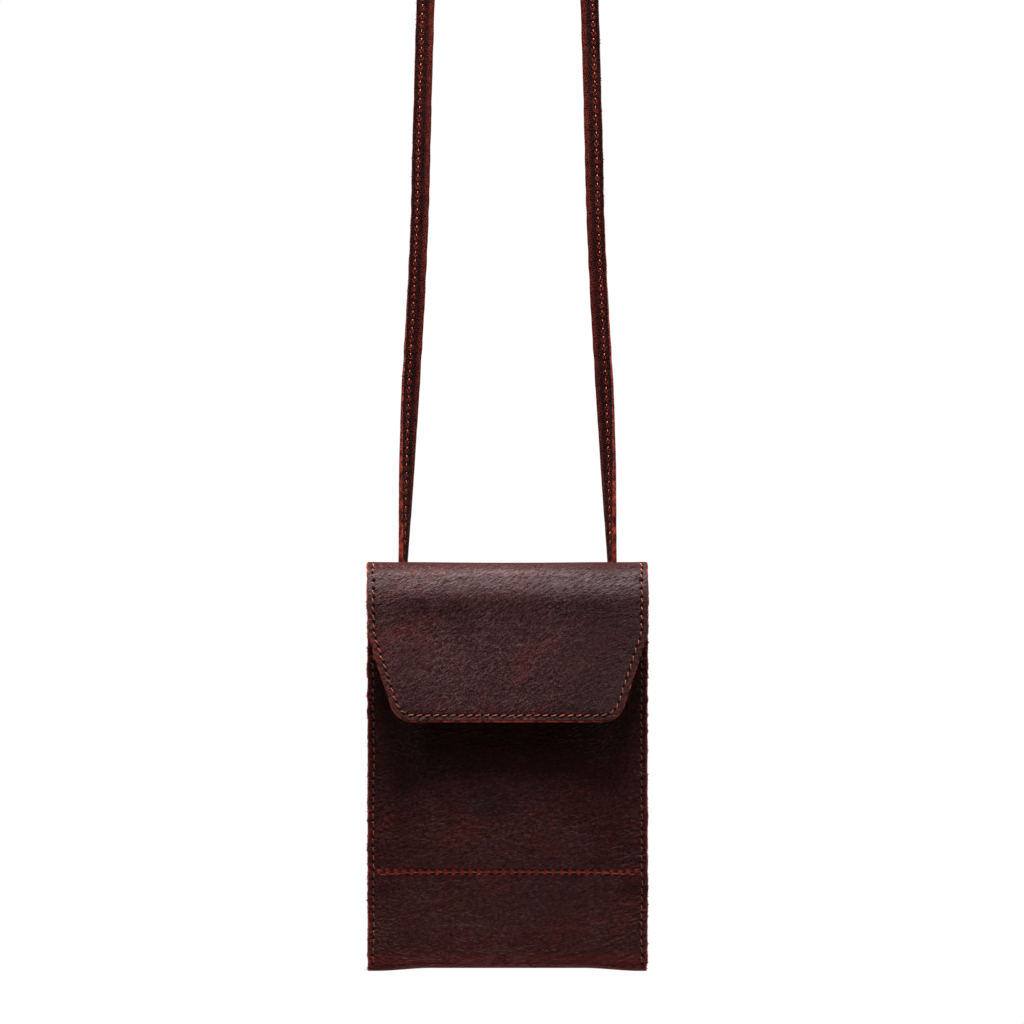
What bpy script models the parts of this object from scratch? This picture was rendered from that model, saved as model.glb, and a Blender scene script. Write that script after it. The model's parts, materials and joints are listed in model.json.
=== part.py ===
"""A small leather crossbody pouch with a stitched flap, hung by its strap.

Metres, +Z up, the front towards -Y. The origin is the point under the top of the
strap where a hook, a peg or a neck holds the pouch, so everything hangs below it.
"""

from math import acos, asin, atan2, cos, exp, hypot, pi, radians, sin

import bmesh
import bpy
from mathutils import Matrix, Vector

# Pouch body
POUCH_WIDTH = 0.120
POUCH_HEIGHT = 0.1745
HIDE = 0.0015
LINING = 0.0007
POCKET = 0.0008
GAP = 0.0003
PUFF = 0.0052
BOTTOM_PUFF_SHARE = 0.30
RISE_SHARE = 0.40
SEAM_MARGIN = 0.0035
SHOULDER_SHARE = 0.42
BOTTOM_LIFT = 0.0011
MOUTH_DROP = 0.022
LINING_FOOT = 0.008

# Slip pocket sewn inside the front by one seam across
POCKET_TOP_DROP = 0.030
POCKET_SEAM_DROP = 0.1325
POCKET_HEM = 0.004
POCKET_EASE = 0.0007

# Flap and the fold it hangs from
FOLD_RADIUS = 0.0065
FLAP_DROP = 0.068
TAPER_DROP = 0.0305
TIP_INSET = 0.0124
TIP_CORNER = 0.0099
LINING_INSET = 0.0006

# Hidden magnetic snap
SNAP_DROP = 0.054
SNAP_RADIUS = 0.007
PLATE = 0.0009
MAGNET = 0.0016
MAGNET_RIM = 0.0006
POST_RADIUS = 0.0015
WASHER_RADIUS = 0.005
WASHER = 0.0004
SKIVE = 0.0006
SNAP_EASE = 0.0005

# Strap: one strip folded lengthwise, its two raw edges sewn together
STRAP_WIDTH = 0.0076
STRAP = 0.0026
STRAP_DROP = 0.640
PEG_RADIUS = 0.0188
HOLE_INSET = 0.0147
HOLE_DROP = 0.0115
NECK_WIDTH = 0.0046
NECK = 0.0036
NECK_LENGTH = 0.050
EDGE_ROUND_SHARE = 0.22
EDGE_ON = radians(90)
BASE_TURN = radians(82)
TWIST_REACH = 0.080
TWIST_POWER = 1.3
TOP_TWIST_START = 0.300
TOP_TWIST_END = 0.045
STATION_POWER = 1.5

# Knots that stop the strap's ends inside
CORD_RADIUS = 0.0019
KNOT_WIDTH = 0.0094
KNOT_DEPTH = 0.0062
KNOT_HEIGHT = 0.0088
KNOT_TURNS = 3
KNOT_GROOVE_SHARE = 0.10
TAIL_WIDTH = 0.0060
TAIL = 0.0020
TAIL_LENGTH = 0.013

OVERRUN = 0.002

# Places worked out from the sizes
HALF_WIDTH = POUCH_WIDTH / 2
TIP_WIDTH = POUCH_WIDTH - 2 * TIP_INSET
HOLE_SPREAD = POUCH_WIDTH - 2 * HOLE_INSET
TOP_Z = -STRAP_DROP
BOTTOM_Z = TOP_Z - POUCH_HEIGHT
MOUTH_Z = TOP_Z - MOUTH_DROP
BACK_FACE_Y = -STRAP_WIDTH / 2 - GAP
BACK_MID_Y = BACK_FACE_Y - HIDE / 2
PINCH = HIDE + LINING + POCKET + 3 * GAP
FOLD_Y = BACK_FACE_Y - FOLD_RADIUS
FOLD_Z = TOP_Z - FOLD_RADIUS
LINING_DEPTH = HIDE + GAP + LINING / 2
SEAM_HALF = HALF_WIDTH - SEAM_MARGIN
SNAP_Z = TOP_Z - SNAP_DROP
HOLE_Z = TOP_Z - HOLE_DROP
PIVOT_Y = BACK_FACE_Y + GAP + NECK_WIDTH / 2
FRONT_FACE_Y = BACK_MID_Y - PINCH - PUFF - HIDE / 2
PLATE_FACE_Y = FRONT_FACE_Y - GAP - PLATE
MAGNET_BACK_Y = PLATE_FACE_Y - GAP - SNAP_EASE
FLAP_STACK = MAGNET + GAP + LINING + GAP + HIDE


def flap_lean():
    """How far the flap leans forward so that it lies on the snap: a tangent to the fold."""
    forward = FOLD_Y - (MAGNET_BACK_Y - FLAP_STACK)
    down = FOLD_Z - SNAP_Z
    return atan2(forward, down) - asin(FOLD_RADIUS / hypot(forward, down))


LEAN = flap_lean()
FOLD_END = pi - LEAN
FOLD_LENGTH = FOLD_RADIUS * FOLD_END
FLAP_LENGTH = (FOLD_Z + FOLD_RADIUS * sin(FOLD_END) - TOP_Z + FLAP_DROP) / cos(LEAN)


def make_collection(name):
    """A collection in the scene, emptied first if it is already there."""
    found = bpy.data.collections.get(name)
    if found is not None:
        bpy.data.collections.remove(found)
    made = bpy.data.collections.new(name)
    bpy.context.scene.collection.children.link(made)
    return made


def make_material(name, colour, roughness, metallic):
    """A plain Principled material."""
    made = bpy.data.materials.new(name)
    made.use_nodes = True
    shader = made.node_tree.nodes["Principled BSDF"]
    shader.inputs["Base Color"].default_value = (*colour, 1)
    shader.inputs["Roughness"].default_value = roughness
    shader.inputs["Metallic"].default_value = metallic
    return made


def add_part(name, bm, material):
    """Turns a bmesh into a named part."""
    mesh = bpy.data.meshes.new(name)
    bm.to_mesh(mesh)
    bm.free()
    mesh.materials.append(material)
    part = bpy.data.objects.new(name, mesh)
    PARTS.objects.link(part)
    return part


def add_cutter(name, bm):
    """Turns a bmesh into a cutter, which isn't part of the pouch."""
    mesh = bpy.data.meshes.new(name)
    bm.to_mesh(mesh)
    bm.free()
    cutter = bpy.data.objects.new(name, mesh)
    cutter.hide_render = True
    cutter.display_type = "WIRE"
    CUTTERS.objects.link(cutter)
    return cutter


def cut(part, cutter):
    """Takes the cutter away from the part."""
    boolean = part.modifiers.new("cut " + cutter.name, "BOOLEAN")
    boolean.operation = "DIFFERENCE"
    boolean.object = cutter


def join(part, other):
    """Adds the other shape to the part as one body."""
    boolean = part.modifiers.new("join " + other.name, "BOOLEAN")
    boolean.operation = "UNION"
    boolean.object = other


def smooth(value):
    """Eases from 0 to 1 and stays there on either side."""
    held = min(max(value, 0), 1)
    return held * held * (3 - 2 * held)


def rod(bm, radius, start, end, segments=24):
    """A closed cylinder from start to end."""
    axis = end - start
    turn = Vector((0, 0, 1)).rotation_difference(axis).to_matrix().to_4x4()
    place = Matrix.Translation((start + end) / 2) @ turn
    bmesh.ops.create_cone(
        bm,
        cap_ends=True,
        segments=segments,
        radius1=radius,
        radius2=radius,
        depth=axis.length,
        matrix=place,
    )


def sheet(name, columns, rows, place, thickness, material):
    """A sheet of leather: a grid whose points place(across, row) gives, made thick by Solidify."""
    bm = bmesh.new()
    bmesh.ops.create_grid(bm, x_segments=columns, y_segments=rows - 1, size=1)
    for vertex in bm.verts:
        across = vertex.co.x
        row = round((vertex.co.y + 1) / 2 * (rows - 1))
        vertex.co = place(across, row)
    part = add_part(name, bm, material)
    part.data.shade_smooth()
    part.data.set_sharp_from_angle(angle=radians(40))
    solidify = part.modifiers.new("thickness", "SOLIDIFY")
    solidify.thickness = thickness
    solidify.offset = 0
    solidify.use_even_offset = True
    return part


def swell(x):
    """How full the pouch is at x: 0 at the side seams, 1 across the middle."""
    return smooth((SEAM_HALF - abs(x)) / (SEAM_HALF * SHOULDER_SHARE))


def bottom_fold(x):
    """Radius and centre height of the bottom fold's mid-surface at x."""
    radius = (PINCH + PUFF * BOTTOM_PUFF_SHARE * swell(x)) / 2
    return radius, BOTTOM_Z + BOTTOM_LIFT * swell(x) + HIDE / 2 + radius


def front_y(x, z):
    """Where the front's mid-surface lies."""
    centre = bottom_fold(x)[1]
    up = smooth((z - centre) / ((MOUTH_Z - centre) * RISE_SHARE))
    full = BOTTOM_PUFF_SHARE + (1 - BOTTOM_PUFF_SHARE) * up
    return BACK_MID_Y - PINCH - PUFF * full * swell(x)


def wrap(distance, depth):
    """A point of the hide's upper run: up the back, over the fold and down the flap.

    Distance is along the outer face from the fold's start, and depth is below that face.
    """
    radius = FOLD_RADIUS - depth
    angle = min(max(distance / FOLD_RADIUS, 0), FOLD_END)
    past = distance - angle * FOLD_RADIUS
    y = FOLD_Y + radius * cos(angle) - past * sin(angle)
    z = FOLD_Z + radius * sin(angle) + past * cos(angle)
    return y, z


def make_body():
    """Front, bottom fold and back in one piece of hide, open at the top."""
    back_rows = 5
    fold_rows = 6
    front_rows = 12
    last = back_rows + fold_rows + front_rows
    back_top = FOLD_Z - GAP

    def place(across, row):
        x = across * HALF_WIDTH
        radius, centre = bottom_fold(x)
        if row <= back_rows:
            z = back_top + (centre - back_top) * row / back_rows
            return Vector((x, BACK_MID_Y, z))
        if row <= back_rows + fold_rows:
            angle = pi * (row - back_rows) / fold_rows
            y = BACK_MID_Y - radius + radius * cos(angle)
            return Vector((x, y, centre - radius * sin(angle)))
        z = centre + (MOUTH_Z - centre) * (row - back_rows - fold_rows) / front_rows
        return Vector((x, front_y(x, z), z))

    return sheet("body_leather", 28, last + 1, place, HIDE, HIDE_MATERIAL)


def make_back_lining():
    """Thin leather behind the back, from the fold to just above the bottom."""
    rows = 3
    foot = BOTTOM_Z + LINING_FOOT

    def place(across, row):
        z = FOLD_Z - GAP + (foot - FOLD_Z) * row / (rows - 1)
        return Vector((across * HALF_WIDTH, BACK_FACE_Y - LINING_DEPTH, z))

    return sheet("back_lining", 2, rows, place, LINING, LINING_MATERIAL)


def make_slip_pocket():
    """The panel sewn inside the front, which makes a flat pocket."""
    rows = 10
    top = TOP_Z - POCKET_TOP_DROP
    foot = TOP_Z - POCKET_SEAM_DROP - POCKET_HEM

    def place(across, row):
        x = across * HALF_WIDTH
        z = top + (foot - top) * row / (rows - 1)
        ease = GAP + (POCKET_EASE - GAP) * swell(x)
        return Vector((x, front_y(x, z) + HIDE / 2 + ease + POCKET / 2, z))

    return sheet("slip_pocket", 28, rows, place, POCKET, LINING_MATERIAL)


def flap_rows():
    """Rows of the flap as (distance along it, half width): straight, tapered, then round corners."""
    taper_start = (FOLD_Z - TOP_Z + TAPER_DROP) / cos(LEAN)
    tip_half = TIP_WIDTH / 2
    slope = atan2(HALF_WIDTH - tip_half, FLAP_LENGTH - taper_start)
    reach = TIP_CORNER * sin((pi / 2 - slope) / 2) / cos((pi / 2 - slope) / 2)
    centre_across = tip_half - reach
    centre_down = FLAP_LENGTH - TIP_CORNER
    rows = [(GAP, HALF_WIDTH), (taper_start / 2, HALF_WIDTH), (taper_start, HALF_WIDTH)]
    taper_end = centre_down + TIP_CORNER * sin(slope)
    taper_steps = 4
    for step in range(1, taper_steps):
        along = taper_start + (taper_end - taper_start) * step / taper_steps
        rows.append((along, HALF_WIDTH - (along - taper_start) * sin(slope) / cos(slope)))
    corner_steps = 7
    for step in range(corner_steps + 1):
        angle = slope + (pi / 2 - slope) * step / corner_steps
        rows.append((centre_down + TIP_CORNER * sin(angle), centre_across + TIP_CORNER * cos(angle)))
    return rows


def flap_sheet(name, depth, inset, thickness, material):
    """One layer of the flap, at a depth under its outer face and drawn in from its edge."""
    rows = flap_rows()

    def place(across, row):
        along, half = rows[row]
        near_tip = (along - GAP) / (FLAP_LENGTH - GAP)
        y, z = wrap(FOLD_LENGTH + along - inset * near_tip, depth)
        return Vector((across * (half - inset), y, z))

    return sheet(name, 12, len(rows), place, thickness, material)


def fold_sheet(name, depth, thickness, material):
    """One layer of the fold between the back and the flap."""
    rows = 13

    def place(across, row):
        y, z = wrap(FOLD_LENGTH * row / (rows - 1), depth)
        return Vector((across * HALF_WIDTH, y, z))

    return sheet(name, 2, rows, place, thickness, material)


def flap_point(along, depth, x=0):
    """A point of the flap, in the pouch's frame."""
    y, z = wrap(FOLD_LENGTH + along, depth)
    return Vector((x, y, z))


def make_snap(body, flap, lining):
    """A thin magnetic snap: a plate on the front and a magnet under the flap, each on a washer."""
    # The plate, with its post through the front into the washer behind it
    centre = Vector((0, 0, SNAP_Z))

    def at(y):
        return centre + Vector((0, y, 0))

    inner_face = FRONT_FACE_Y + HIDE
    washer_face = inner_face - SKIVE + GAP / 2
    bm = bmesh.new()
    rod(bm, SNAP_RADIUS, at(FRONT_FACE_Y - GAP), at(PLATE_FACE_Y), 40)
    plate = add_part("snap_plate", bm, METAL_MATERIAL)
    bm = bmesh.new()
    rod(bm, POST_RADIUS, at(PLATE_FACE_Y + PLATE / 2), at(washer_face + WASHER))
    join(plate, add_cutter("plate post", bm))
    bm = bmesh.new()
    rod(bm, WASHER_RADIUS, at(washer_face), at(washer_face + WASHER), 32)
    washer = add_part("snap_plate_washer", bm, METAL_MATERIAL)
    bm = bmesh.new()
    rod(bm, POST_RADIUS + GAP, at(FRONT_FACE_Y - OVERRUN), at(inner_face + OVERRUN))
    bore = add_cutter("plate post hole", bm)
    cut(body, bore)
    cut(washer, bore)
    bm = bmesh.new()
    rod(bm, WASHER_RADIUS + GAP, at(inner_face - SKIVE), at(inner_face + OVERRUN), 32)
    cut(body, add_cutter("front skive", bm))

    # The magnet in its cup, with its post through the lining into the washer above it
    along = (FOLD_Z - SNAP_Z) / cos(LEAN)
    lining_face = HIDE + GAP + LINING

    def under(depth):
        return flap_point(along, depth)

    bm = bmesh.new()
    rod(bm, SNAP_RADIUS, under(lining_face + GAP), under(lining_face + GAP + MAGNET), 40)
    magnet = add_part("snap_magnet", bm, METAL_MATERIAL)
    bm = bmesh.new()
    recess = lining_face + GAP + MAGNET - MAGNET_RIM / 2
    rod(bm, SNAP_RADIUS - MAGNET_RIM, under(recess), under(recess + OVERRUN), 40)
    cut(magnet, add_cutter("magnet cup recess", bm))
    washer_depth = HIDE - SKIVE + GAP / 2
    bm = bmesh.new()
    rod(bm, POST_RADIUS, under(washer_depth), under(lining_face + GAP + MAGNET / 2))
    join(magnet, add_cutter("magnet post", bm))
    bm = bmesh.new()
    rod(bm, WASHER_RADIUS, under(washer_depth), under(washer_depth + WASHER), 32)
    top_washer = add_part("snap_magnet_washer", bm, METAL_MATERIAL)
    bm = bmesh.new()
    rod(bm, POST_RADIUS + GAP, under(washer_depth - OVERRUN / 2), under(lining_face + OVERRUN))
    bore = add_cutter("magnet post hole", bm)
    cut(lining, bore)
    cut(top_washer, bore)
    bm = bmesh.new()
    rod(bm, WASHER_RADIUS + GAP, under(HIDE - SKIVE), under(HIDE + GAP / 2), 32)
    cut(flap, add_cutter("flap skive", bm))


def run_angle():
    """How far each run of the strap leans inwards: a tangent to the arc over the peg."""
    arc_radius = PEG_RADIUS + STRAP / 2
    across = HOLE_SPREAD / 2
    down = STRAP / 2 - arc_radius - HOLE_Z
    return atan2(across, down) - asin(arc_radius / hypot(across, down))


def strap_stations():
    """Stations up the left run and over the peg's left half: centre, outward, turn and height."""
    arc_radius = PEG_RADIUS + STRAP / 2
    arc_centre = STRAP / 2 - arc_radius
    lean = run_angle()
    top_of_run = Vector((-arc_radius * cos(lean), 0, arc_centre + arc_radius * sin(lean)))
    start = Vector((-HOLE_SPREAD / 2, 0, HOLE_Z))
    outward = Vector((-cos(lean), 0, sin(lean)))
    length = (top_of_run - start).length
    share_steps = 44
    stations = []
    for step in range(share_steps + 1):
        share = (step / share_steps) ** STATION_POWER
        height = length * share
        turn = BASE_TURN * exp(-((max(height - HOLE_DROP, 0) / TWIST_REACH) ** TWIST_POWER))
        turn += (EDGE_ON - BASE_TURN) * (1 - smooth((height - HOLE_DROP / 3) / HOLE_DROP))
        top_turn = smooth((height - TOP_TWIST_START) / (length - TOP_TWIST_END - TOP_TWIST_START))
        turn += (EDGE_ON - turn) * top_turn
        centre = start.lerp(top_of_run, share)
        centre.y = PIVOT_Y * (1 - smooth(height / NECK_LENGTH))
        stations.append((centre, outward, turn, height))
    arc_steps = 10
    for step in range(1, arc_steps + 1):
        angle = lean + (pi / 2 - lean) * step / arc_steps
        outward = Vector((-cos(angle), 0, sin(angle)))
        centre = Vector((0, 0, arc_centre)) + outward * arc_radius
        stations.append((centre, outward, EDGE_ON, length))
    return stations


def strap_section(centre, outward, turn, width, thickness):
    """The strap's outline round one station: a rectangle with its corners taken off."""
    front = Vector((0, -1, 0))
    wide = outward * cos(turn) + front * sin(turn)
    thick = front * cos(turn) - outward * sin(turn)
    corner = thickness * EDGE_ROUND_SHARE
    half_wide = width / 2
    half_thick = thickness / 2
    outline = []
    for side_wide, side_thick in ((1, 1), (-1, 1), (-1, -1), (1, -1)):
        near_side = (half_wide * side_wide, (half_thick - corner) * side_thick)
        near_face = ((half_wide - corner) * side_wide, half_thick * side_thick)
        pair = (near_side, near_face) if side_wide == side_thick else (near_face, near_side)
        outline.extend(pair)
    return [centre + wide * a + thick * b for a, b in outline]


def make_strap():
    """The strap as one loft, up the left run, over the peg and down the right run."""
    left = []
    end_steps = 4
    base_centre, base_outward, base_turn, _ = strap_stations()[0]
    for step in range(end_steps):
        angle = (pi / 2) * (end_steps - step - 0.5) / end_steps
        centre = base_centre - Vector((0, 0, NECK_WIDTH / 2 * sin(angle)))
        width = NECK_WIDTH * cos(angle)
        left.append(strap_section(centre, base_outward, base_turn, width, NECK))
    for centre, outward, turn, height in strap_stations():
        open_out = smooth(height / NECK_LENGTH)
        width = NECK_WIDTH + (STRAP_WIDTH - NECK_WIDTH) * open_out
        thickness = NECK + (STRAP - NECK) * open_out
        left.append(strap_section(centre, outward, turn, width, thickness))
    right = []
    for section in reversed(left[:-1]):
        right.append([Vector((-point.x, point.y, point.z)) for point in section])
    bm = bmesh.new()
    rings = [[bm.verts.new(point) for point in section] for section in left + right]
    count = len(rings[0])
    for lower, upper in zip(rings, rings[1:]):
        for index in range(count):
            after = (index + 1) % count
            bm.faces.new((lower[index], lower[after], upper[after], upper[index]))
    bm.faces.new(reversed(rings[0]))
    bm.faces.new(rings[-1])
    strap = add_part("strap", bm, HIDE_MATERIAL)
    strap.data.shade_smooth()
    strap.data.set_sharp_from_angle(angle=radians(30))
    return strap


def make_knot(name, side):
    """A strap end: it comes in through the back and stops in a knot, with its tail below."""
    x = side * HOLE_SPREAD / 2
    lining_face = BACK_FACE_Y - LINING_DEPTH - LINING / 2
    knot_y = lining_face - GAP - KNOT_DEPTH / 2
    bm = bmesh.new()
    bmesh.ops.create_uvsphere(bm, u_segments=20, v_segments=12, radius=1)
    size = Vector((KNOT_WIDTH / 2, KNOT_DEPTH / 2, KNOT_HEIGHT / 2))
    for vertex in bm.verts:
        turned = KNOT_TURNS * acos(min(max(vertex.co.z, -1), 1)) + side * vertex.co.x
        groove = 1 - KNOT_GROOVE_SHARE * abs(sin(turned))
        vertex.co = Vector((x, knot_y, HOLE_Z)) + Vector(
            [vertex.co[axis] * size[axis] * groove for axis in range(3)]
        )
    knot = add_part(name, bm, HIDE_MATERIAL)
    knot.data.shade_smooth()
    bm = bmesh.new()
    rod(bm, CORD_RADIUS, Vector((x, BACK_FACE_Y, HOLE_Z)), Vector((x, knot_y, HOLE_Z)), 20)
    join(knot, add_cutter(name + " neck", bm))
    bm = bmesh.new()
    bmesh.ops.create_cube(bm, size=1)
    tail_top = HOLE_Z - KNOT_HEIGHT / 4
    tail_foot = HOLE_Z - KNOT_HEIGHT / 2 - TAIL_LENGTH
    tail_y = lining_face - GAP - TAIL / 2
    scale = Vector((TAIL_WIDTH, TAIL, tail_top - tail_foot))
    for vertex in bm.verts:
        placed = Vector([vertex.co[axis] * scale[axis] for axis in range(3)])
        vertex.co = placed + Vector((x, tail_y, (tail_top + tail_foot) / 2))
    join(knot, add_cutter(name + " tail", bm))
    return knot


def cut_strap_holes(body, lining):
    """A round hole for each strap end, through the back and its lining."""
    for side in (-1, 1):
        x = side * HOLE_SPREAD / 2
        bm = bmesh.new()
        outside = Vector((x, BACK_FACE_Y + OVERRUN / 2, HOLE_Z))
        inside = Vector((x, BACK_FACE_Y - LINING_DEPTH - LINING, HOLE_Z))
        rod(bm, CORD_RADIUS + GAP, outside, inside, 24)
        cutter = add_cutter("strap hole " + ("left" if side < 0 else "right"), bm)
        cut(body, cutter)
        cut(lining, cutter)


for old in list(bpy.data.objects):
    bpy.data.objects.remove(old)
PARTS = make_collection("crossbody pouch")
CUTTERS = make_collection("cutters")
HIDE_MATERIAL = make_material("oiled hide", (0.060, 0.018, 0.015), 0.52, 0)
LINING_MATERIAL = make_material("lining leather", (0.120, 0.040, 0.026), 0.85, 0)
METAL_MATERIAL = make_material("snap metal", (0.55, 0.42, 0.26), 0.32, 1)

body_leather = make_body()
back_lining = make_back_lining()
make_slip_pocket()
cut_strap_holes(body_leather, back_lining)
fold_sheet("flap_fold", HIDE / 2, HIDE, HIDE_MATERIAL)
fold_sheet("fold_lining", LINING_DEPTH, LINING, LINING_MATERIAL)
flap_leather = flap_sheet("flap_leather", HIDE / 2, 0, HIDE, HIDE_MATERIAL)
flap_lining = flap_sheet("flap_lining", LINING_DEPTH, LINING_INSET, LINING, LINING_MATERIAL)
make_snap(body_leather, flap_leather, flap_lining)
make_strap()
make_knot("left_strap_knot", -1)
make_knot("right_strap_knot", 1)
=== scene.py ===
"""The looks of a small leather crossbody pouch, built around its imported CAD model.

Metres, +Z up, the front towards -Y, and the origin under the top of the strap.
"""

import json
from bisect import bisect_left
from math import asin, atan2, ceil, cos, exp, hypot, pi, radians, sin, tan
from random import Random

import bmesh
import bpy
from mathutils import Matrix, Vector, noise


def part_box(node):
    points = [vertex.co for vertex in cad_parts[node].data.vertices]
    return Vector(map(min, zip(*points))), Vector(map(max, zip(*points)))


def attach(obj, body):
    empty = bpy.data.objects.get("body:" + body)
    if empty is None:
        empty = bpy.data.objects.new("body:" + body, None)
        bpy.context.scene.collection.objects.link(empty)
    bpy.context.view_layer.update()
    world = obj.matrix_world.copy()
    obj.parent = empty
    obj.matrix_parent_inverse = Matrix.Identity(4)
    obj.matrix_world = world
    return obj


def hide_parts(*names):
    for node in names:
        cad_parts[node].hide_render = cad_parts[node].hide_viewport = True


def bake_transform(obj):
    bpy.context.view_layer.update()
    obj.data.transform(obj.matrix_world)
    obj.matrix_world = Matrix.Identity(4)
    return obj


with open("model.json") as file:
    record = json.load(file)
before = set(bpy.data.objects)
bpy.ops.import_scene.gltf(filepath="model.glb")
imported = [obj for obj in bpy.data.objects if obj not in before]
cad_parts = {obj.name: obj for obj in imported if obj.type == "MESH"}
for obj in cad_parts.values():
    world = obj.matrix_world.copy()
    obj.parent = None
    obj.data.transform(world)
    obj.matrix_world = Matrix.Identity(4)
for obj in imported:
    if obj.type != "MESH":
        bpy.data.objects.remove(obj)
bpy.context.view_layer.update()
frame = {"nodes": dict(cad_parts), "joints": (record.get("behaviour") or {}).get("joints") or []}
RANDOM = Random(41)

# Sizes read from the frame
JOINTS = {joint["name"]: Vector(joint["pos_m"]) for joint in frame["joints"]}
BODY_LOW, BODY_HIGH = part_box("body_leather")
FLAP_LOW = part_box("flap_leather")[0]
PLATE_LOW, PLATE_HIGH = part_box("snap_plate")
KNOT_LOW, KNOT_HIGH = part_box("right_strap_knot")
PIVOT = JOINTS["strap_swing"]
FOLD_Y = JOINTS["flap_hinge"].y
FOLD_Z = JOINTS["flap_hinge"].z
TOP_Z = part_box("flap_fold")[1].z
BOTTOM_Z = BODY_LOW.z
HALF_WIDTH = BODY_HIGH.x
BACK_FACE_Y = BODY_HIGH.y
FOLD_RADIUS = TOP_Z - FOLD_Z
HOLE_X = (KNOT_LOW.x + KNOT_HIGH.x) / 2
HOLE_Z = PIVOT.z
HOLE_DROP = TOP_Z - HOLE_Z
SNAP_Z = (PLATE_LOW.z + PLATE_HIGH.z) / 2
SNAP_RADIUS = (PLATE_HIGH.x - PLATE_LOW.x) / 2

# Leather
HIDE = 0.0015
LINING = 0.0007
POCKET = 0.0008
GAP = 0.0003
PUFF = 0.0052
BOTTOM_PUFF_SHARE = 0.30
RISE_SHARE = 0.40
SEAM_MARGIN = 0.0035
SHOULDER_SHARE = 0.42
SIDE_CLOSE = 0.0011
CLOSE_REACH = 0.005
BOTTOM_LIFT = 0.0005
MOUTH_DROP = 0.022
LINING_FOOT = 0.0036
LINING_INSET = 0.0006
POCKET_TOP_DROP = 0.030
POCKET_SEAM_DROP = 0.1325
POCKET_HEM = 0.004
POCKET_EASE = 0.0007
FLAP_DROP = 0.068
TAPER_DROP = 0.0305
TIP_WIDTH = 0.0952
TIP_CORNER = 0.0099
CORNER_STEPS = 10

# Ripples, dips and swells of the leather
SEAM_DIP = 0.00022
SEAM_DIP_REACH = 0.0009
RIPPLE_SIZE = 0.034
FRONT_RIPPLE = 0.00040
BACK_RIPPLE = 0.00025
CALM_REACH = 0.02
EDGE_BAND_SHARE = 0.2
EDGE_RIPPLE = 0.00017
EDGE_RIPPLE_SIZE = 0.017
EDGE_NUB = 0.00055
EDGE_NUB_SIZE = 0.0022
TOP_SAG = 0.0006
CORNER_DROOP = 0.0009
DROOP_REACH = 0.020
SHOULDER = 0.00125
SHOULDER_RISE = 0.0065
SHOULDER_DROP = 0.011
SHOULDER_FALL = 0.014
BROW = 0.0011
BROW_DROP = 0.005
BROW_REACH = 0.012
FRONT_SEED = 3.1
BACK_SEED = 8.3
FLAP_SEED = 5.9
EDGE_SEED = 1.7
FLAP_EDGE_SEED = 2.5

# Stitching
PITCH = 0.00355
FLAP_SEAM = 0.0028
SIDE_SEAM = 0.0026
THREAD_RADIUS = 0.00019
SIDE_THREAD = 0.00016
THIN_THREAD = 0.00014
STITCH_SLANT = 0.00052
SIDE_SLANT = 0.00028
STITCH_RISE = 0.00026
STITCH_SINK = 0.00025
STITCH_JITTER = 0.00006
HOLE_RADIUS = 0.00074
SIDE_HOLE = 0.00058
HOLE_SIZE_SHARES = (0.85, 1.15)
HOLE_TOP = 0.00012
HOLE_RIM = 0.00006
HOLE_FOOT = 0.00020
HOLE_SHIFT = 0.00030
HOLE_SIDES = 8
STITCH_SIDES = 6
# Each point of a stitch: its share of the run, how high it lies and how thick it is
STITCH_PROFILE = (
    (0.16, -1.0, 0.7), (0.22, 0.4, 0.95), (0.36, 1.0, 1.0),
    (0.62, 0.95, 1.0), (0.76, 0.35, 0.95), (0.82, -1.0, 0.7),
)

# Places worked out from the sizes
BACK_MID_Y = BACK_FACE_Y - HIDE / 2
PINCH = HIDE + LINING + POCKET + 3 * GAP
SEAM_HALF = HALF_WIDTH - SEAM_MARGIN
SEAM_X = HALF_WIDTH - SIDE_SEAM
SEAM_Z = TOP_Z - POCKET_SEAM_DROP
SEAM_PHASE = (1.0 / PITCH + 0.5) % 1
MOUTH_Z = TOP_Z - MOUTH_DROP
POCKET_TOP_Z = TOP_Z - POCKET_TOP_DROP
POCKET_FOOT_Z = SEAM_Z - POCKET_HEM
LINING_DEPTH = HIDE + GAP
LINING_START = BOTTOM_Z + LINING_FOOT - FOLD_Z
LEAN = atan2(FOLD_Y - FLAP_LOW.y, FOLD_Z - FLAP_LOW.z)
LEAN -= asin(FOLD_RADIUS / hypot(FOLD_Y - FLAP_LOW.y, FOLD_Z - FLAP_LOW.z))
FOLD_END = pi - LEAN
FOLD_LENGTH = FOLD_RADIUS * FOLD_END
FLAP_LENGTH = (FOLD_Z + FOLD_RADIUS * sin(FOLD_END) - TOP_Z + FLAP_DROP) / cos(LEAN)
TAPER_START = (FOLD_Z - TOP_Z + TAPER_DROP) / cos(LEAN)
TAPER_SLOPE = atan2(HALF_WIDTH - TIP_WIDTH / 2, FLAP_LENGTH - TAPER_START)
CORNER_X = TIP_WIDTH / 2 - TIP_CORNER * tan((pi / 2 - TAPER_SLOPE) / 2)
CORNER_ALONG = FLAP_LENGTH - TIP_CORNER
BOTTOM_START = MOUTH_Z - BOTTOM_Z - PINCH / 2 - HIDE / 2
BOTTOM_LENGTH = pi * (PINCH + HIDE) / 2
BACK_START = BOTTOM_START + BOTTOM_LENGTH
BACK_LENGTH = FOLD_Z - (MOUTH_Z - BOTTOM_START)
BODY_LENGTH = BACK_START + BACK_LENGTH


# Shape of the leather

def smooth(value):
    """Eases from 0 to 1 and stays there on either side."""
    held = min(max(value, 0), 1)
    return held * held * (3 - 2 * held)


def ripple(x, z, size, seed):
    """A slow wave of the leather, from -1 to 1."""
    return noise.noise(Vector((x / size, seed, z / size)))


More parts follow.
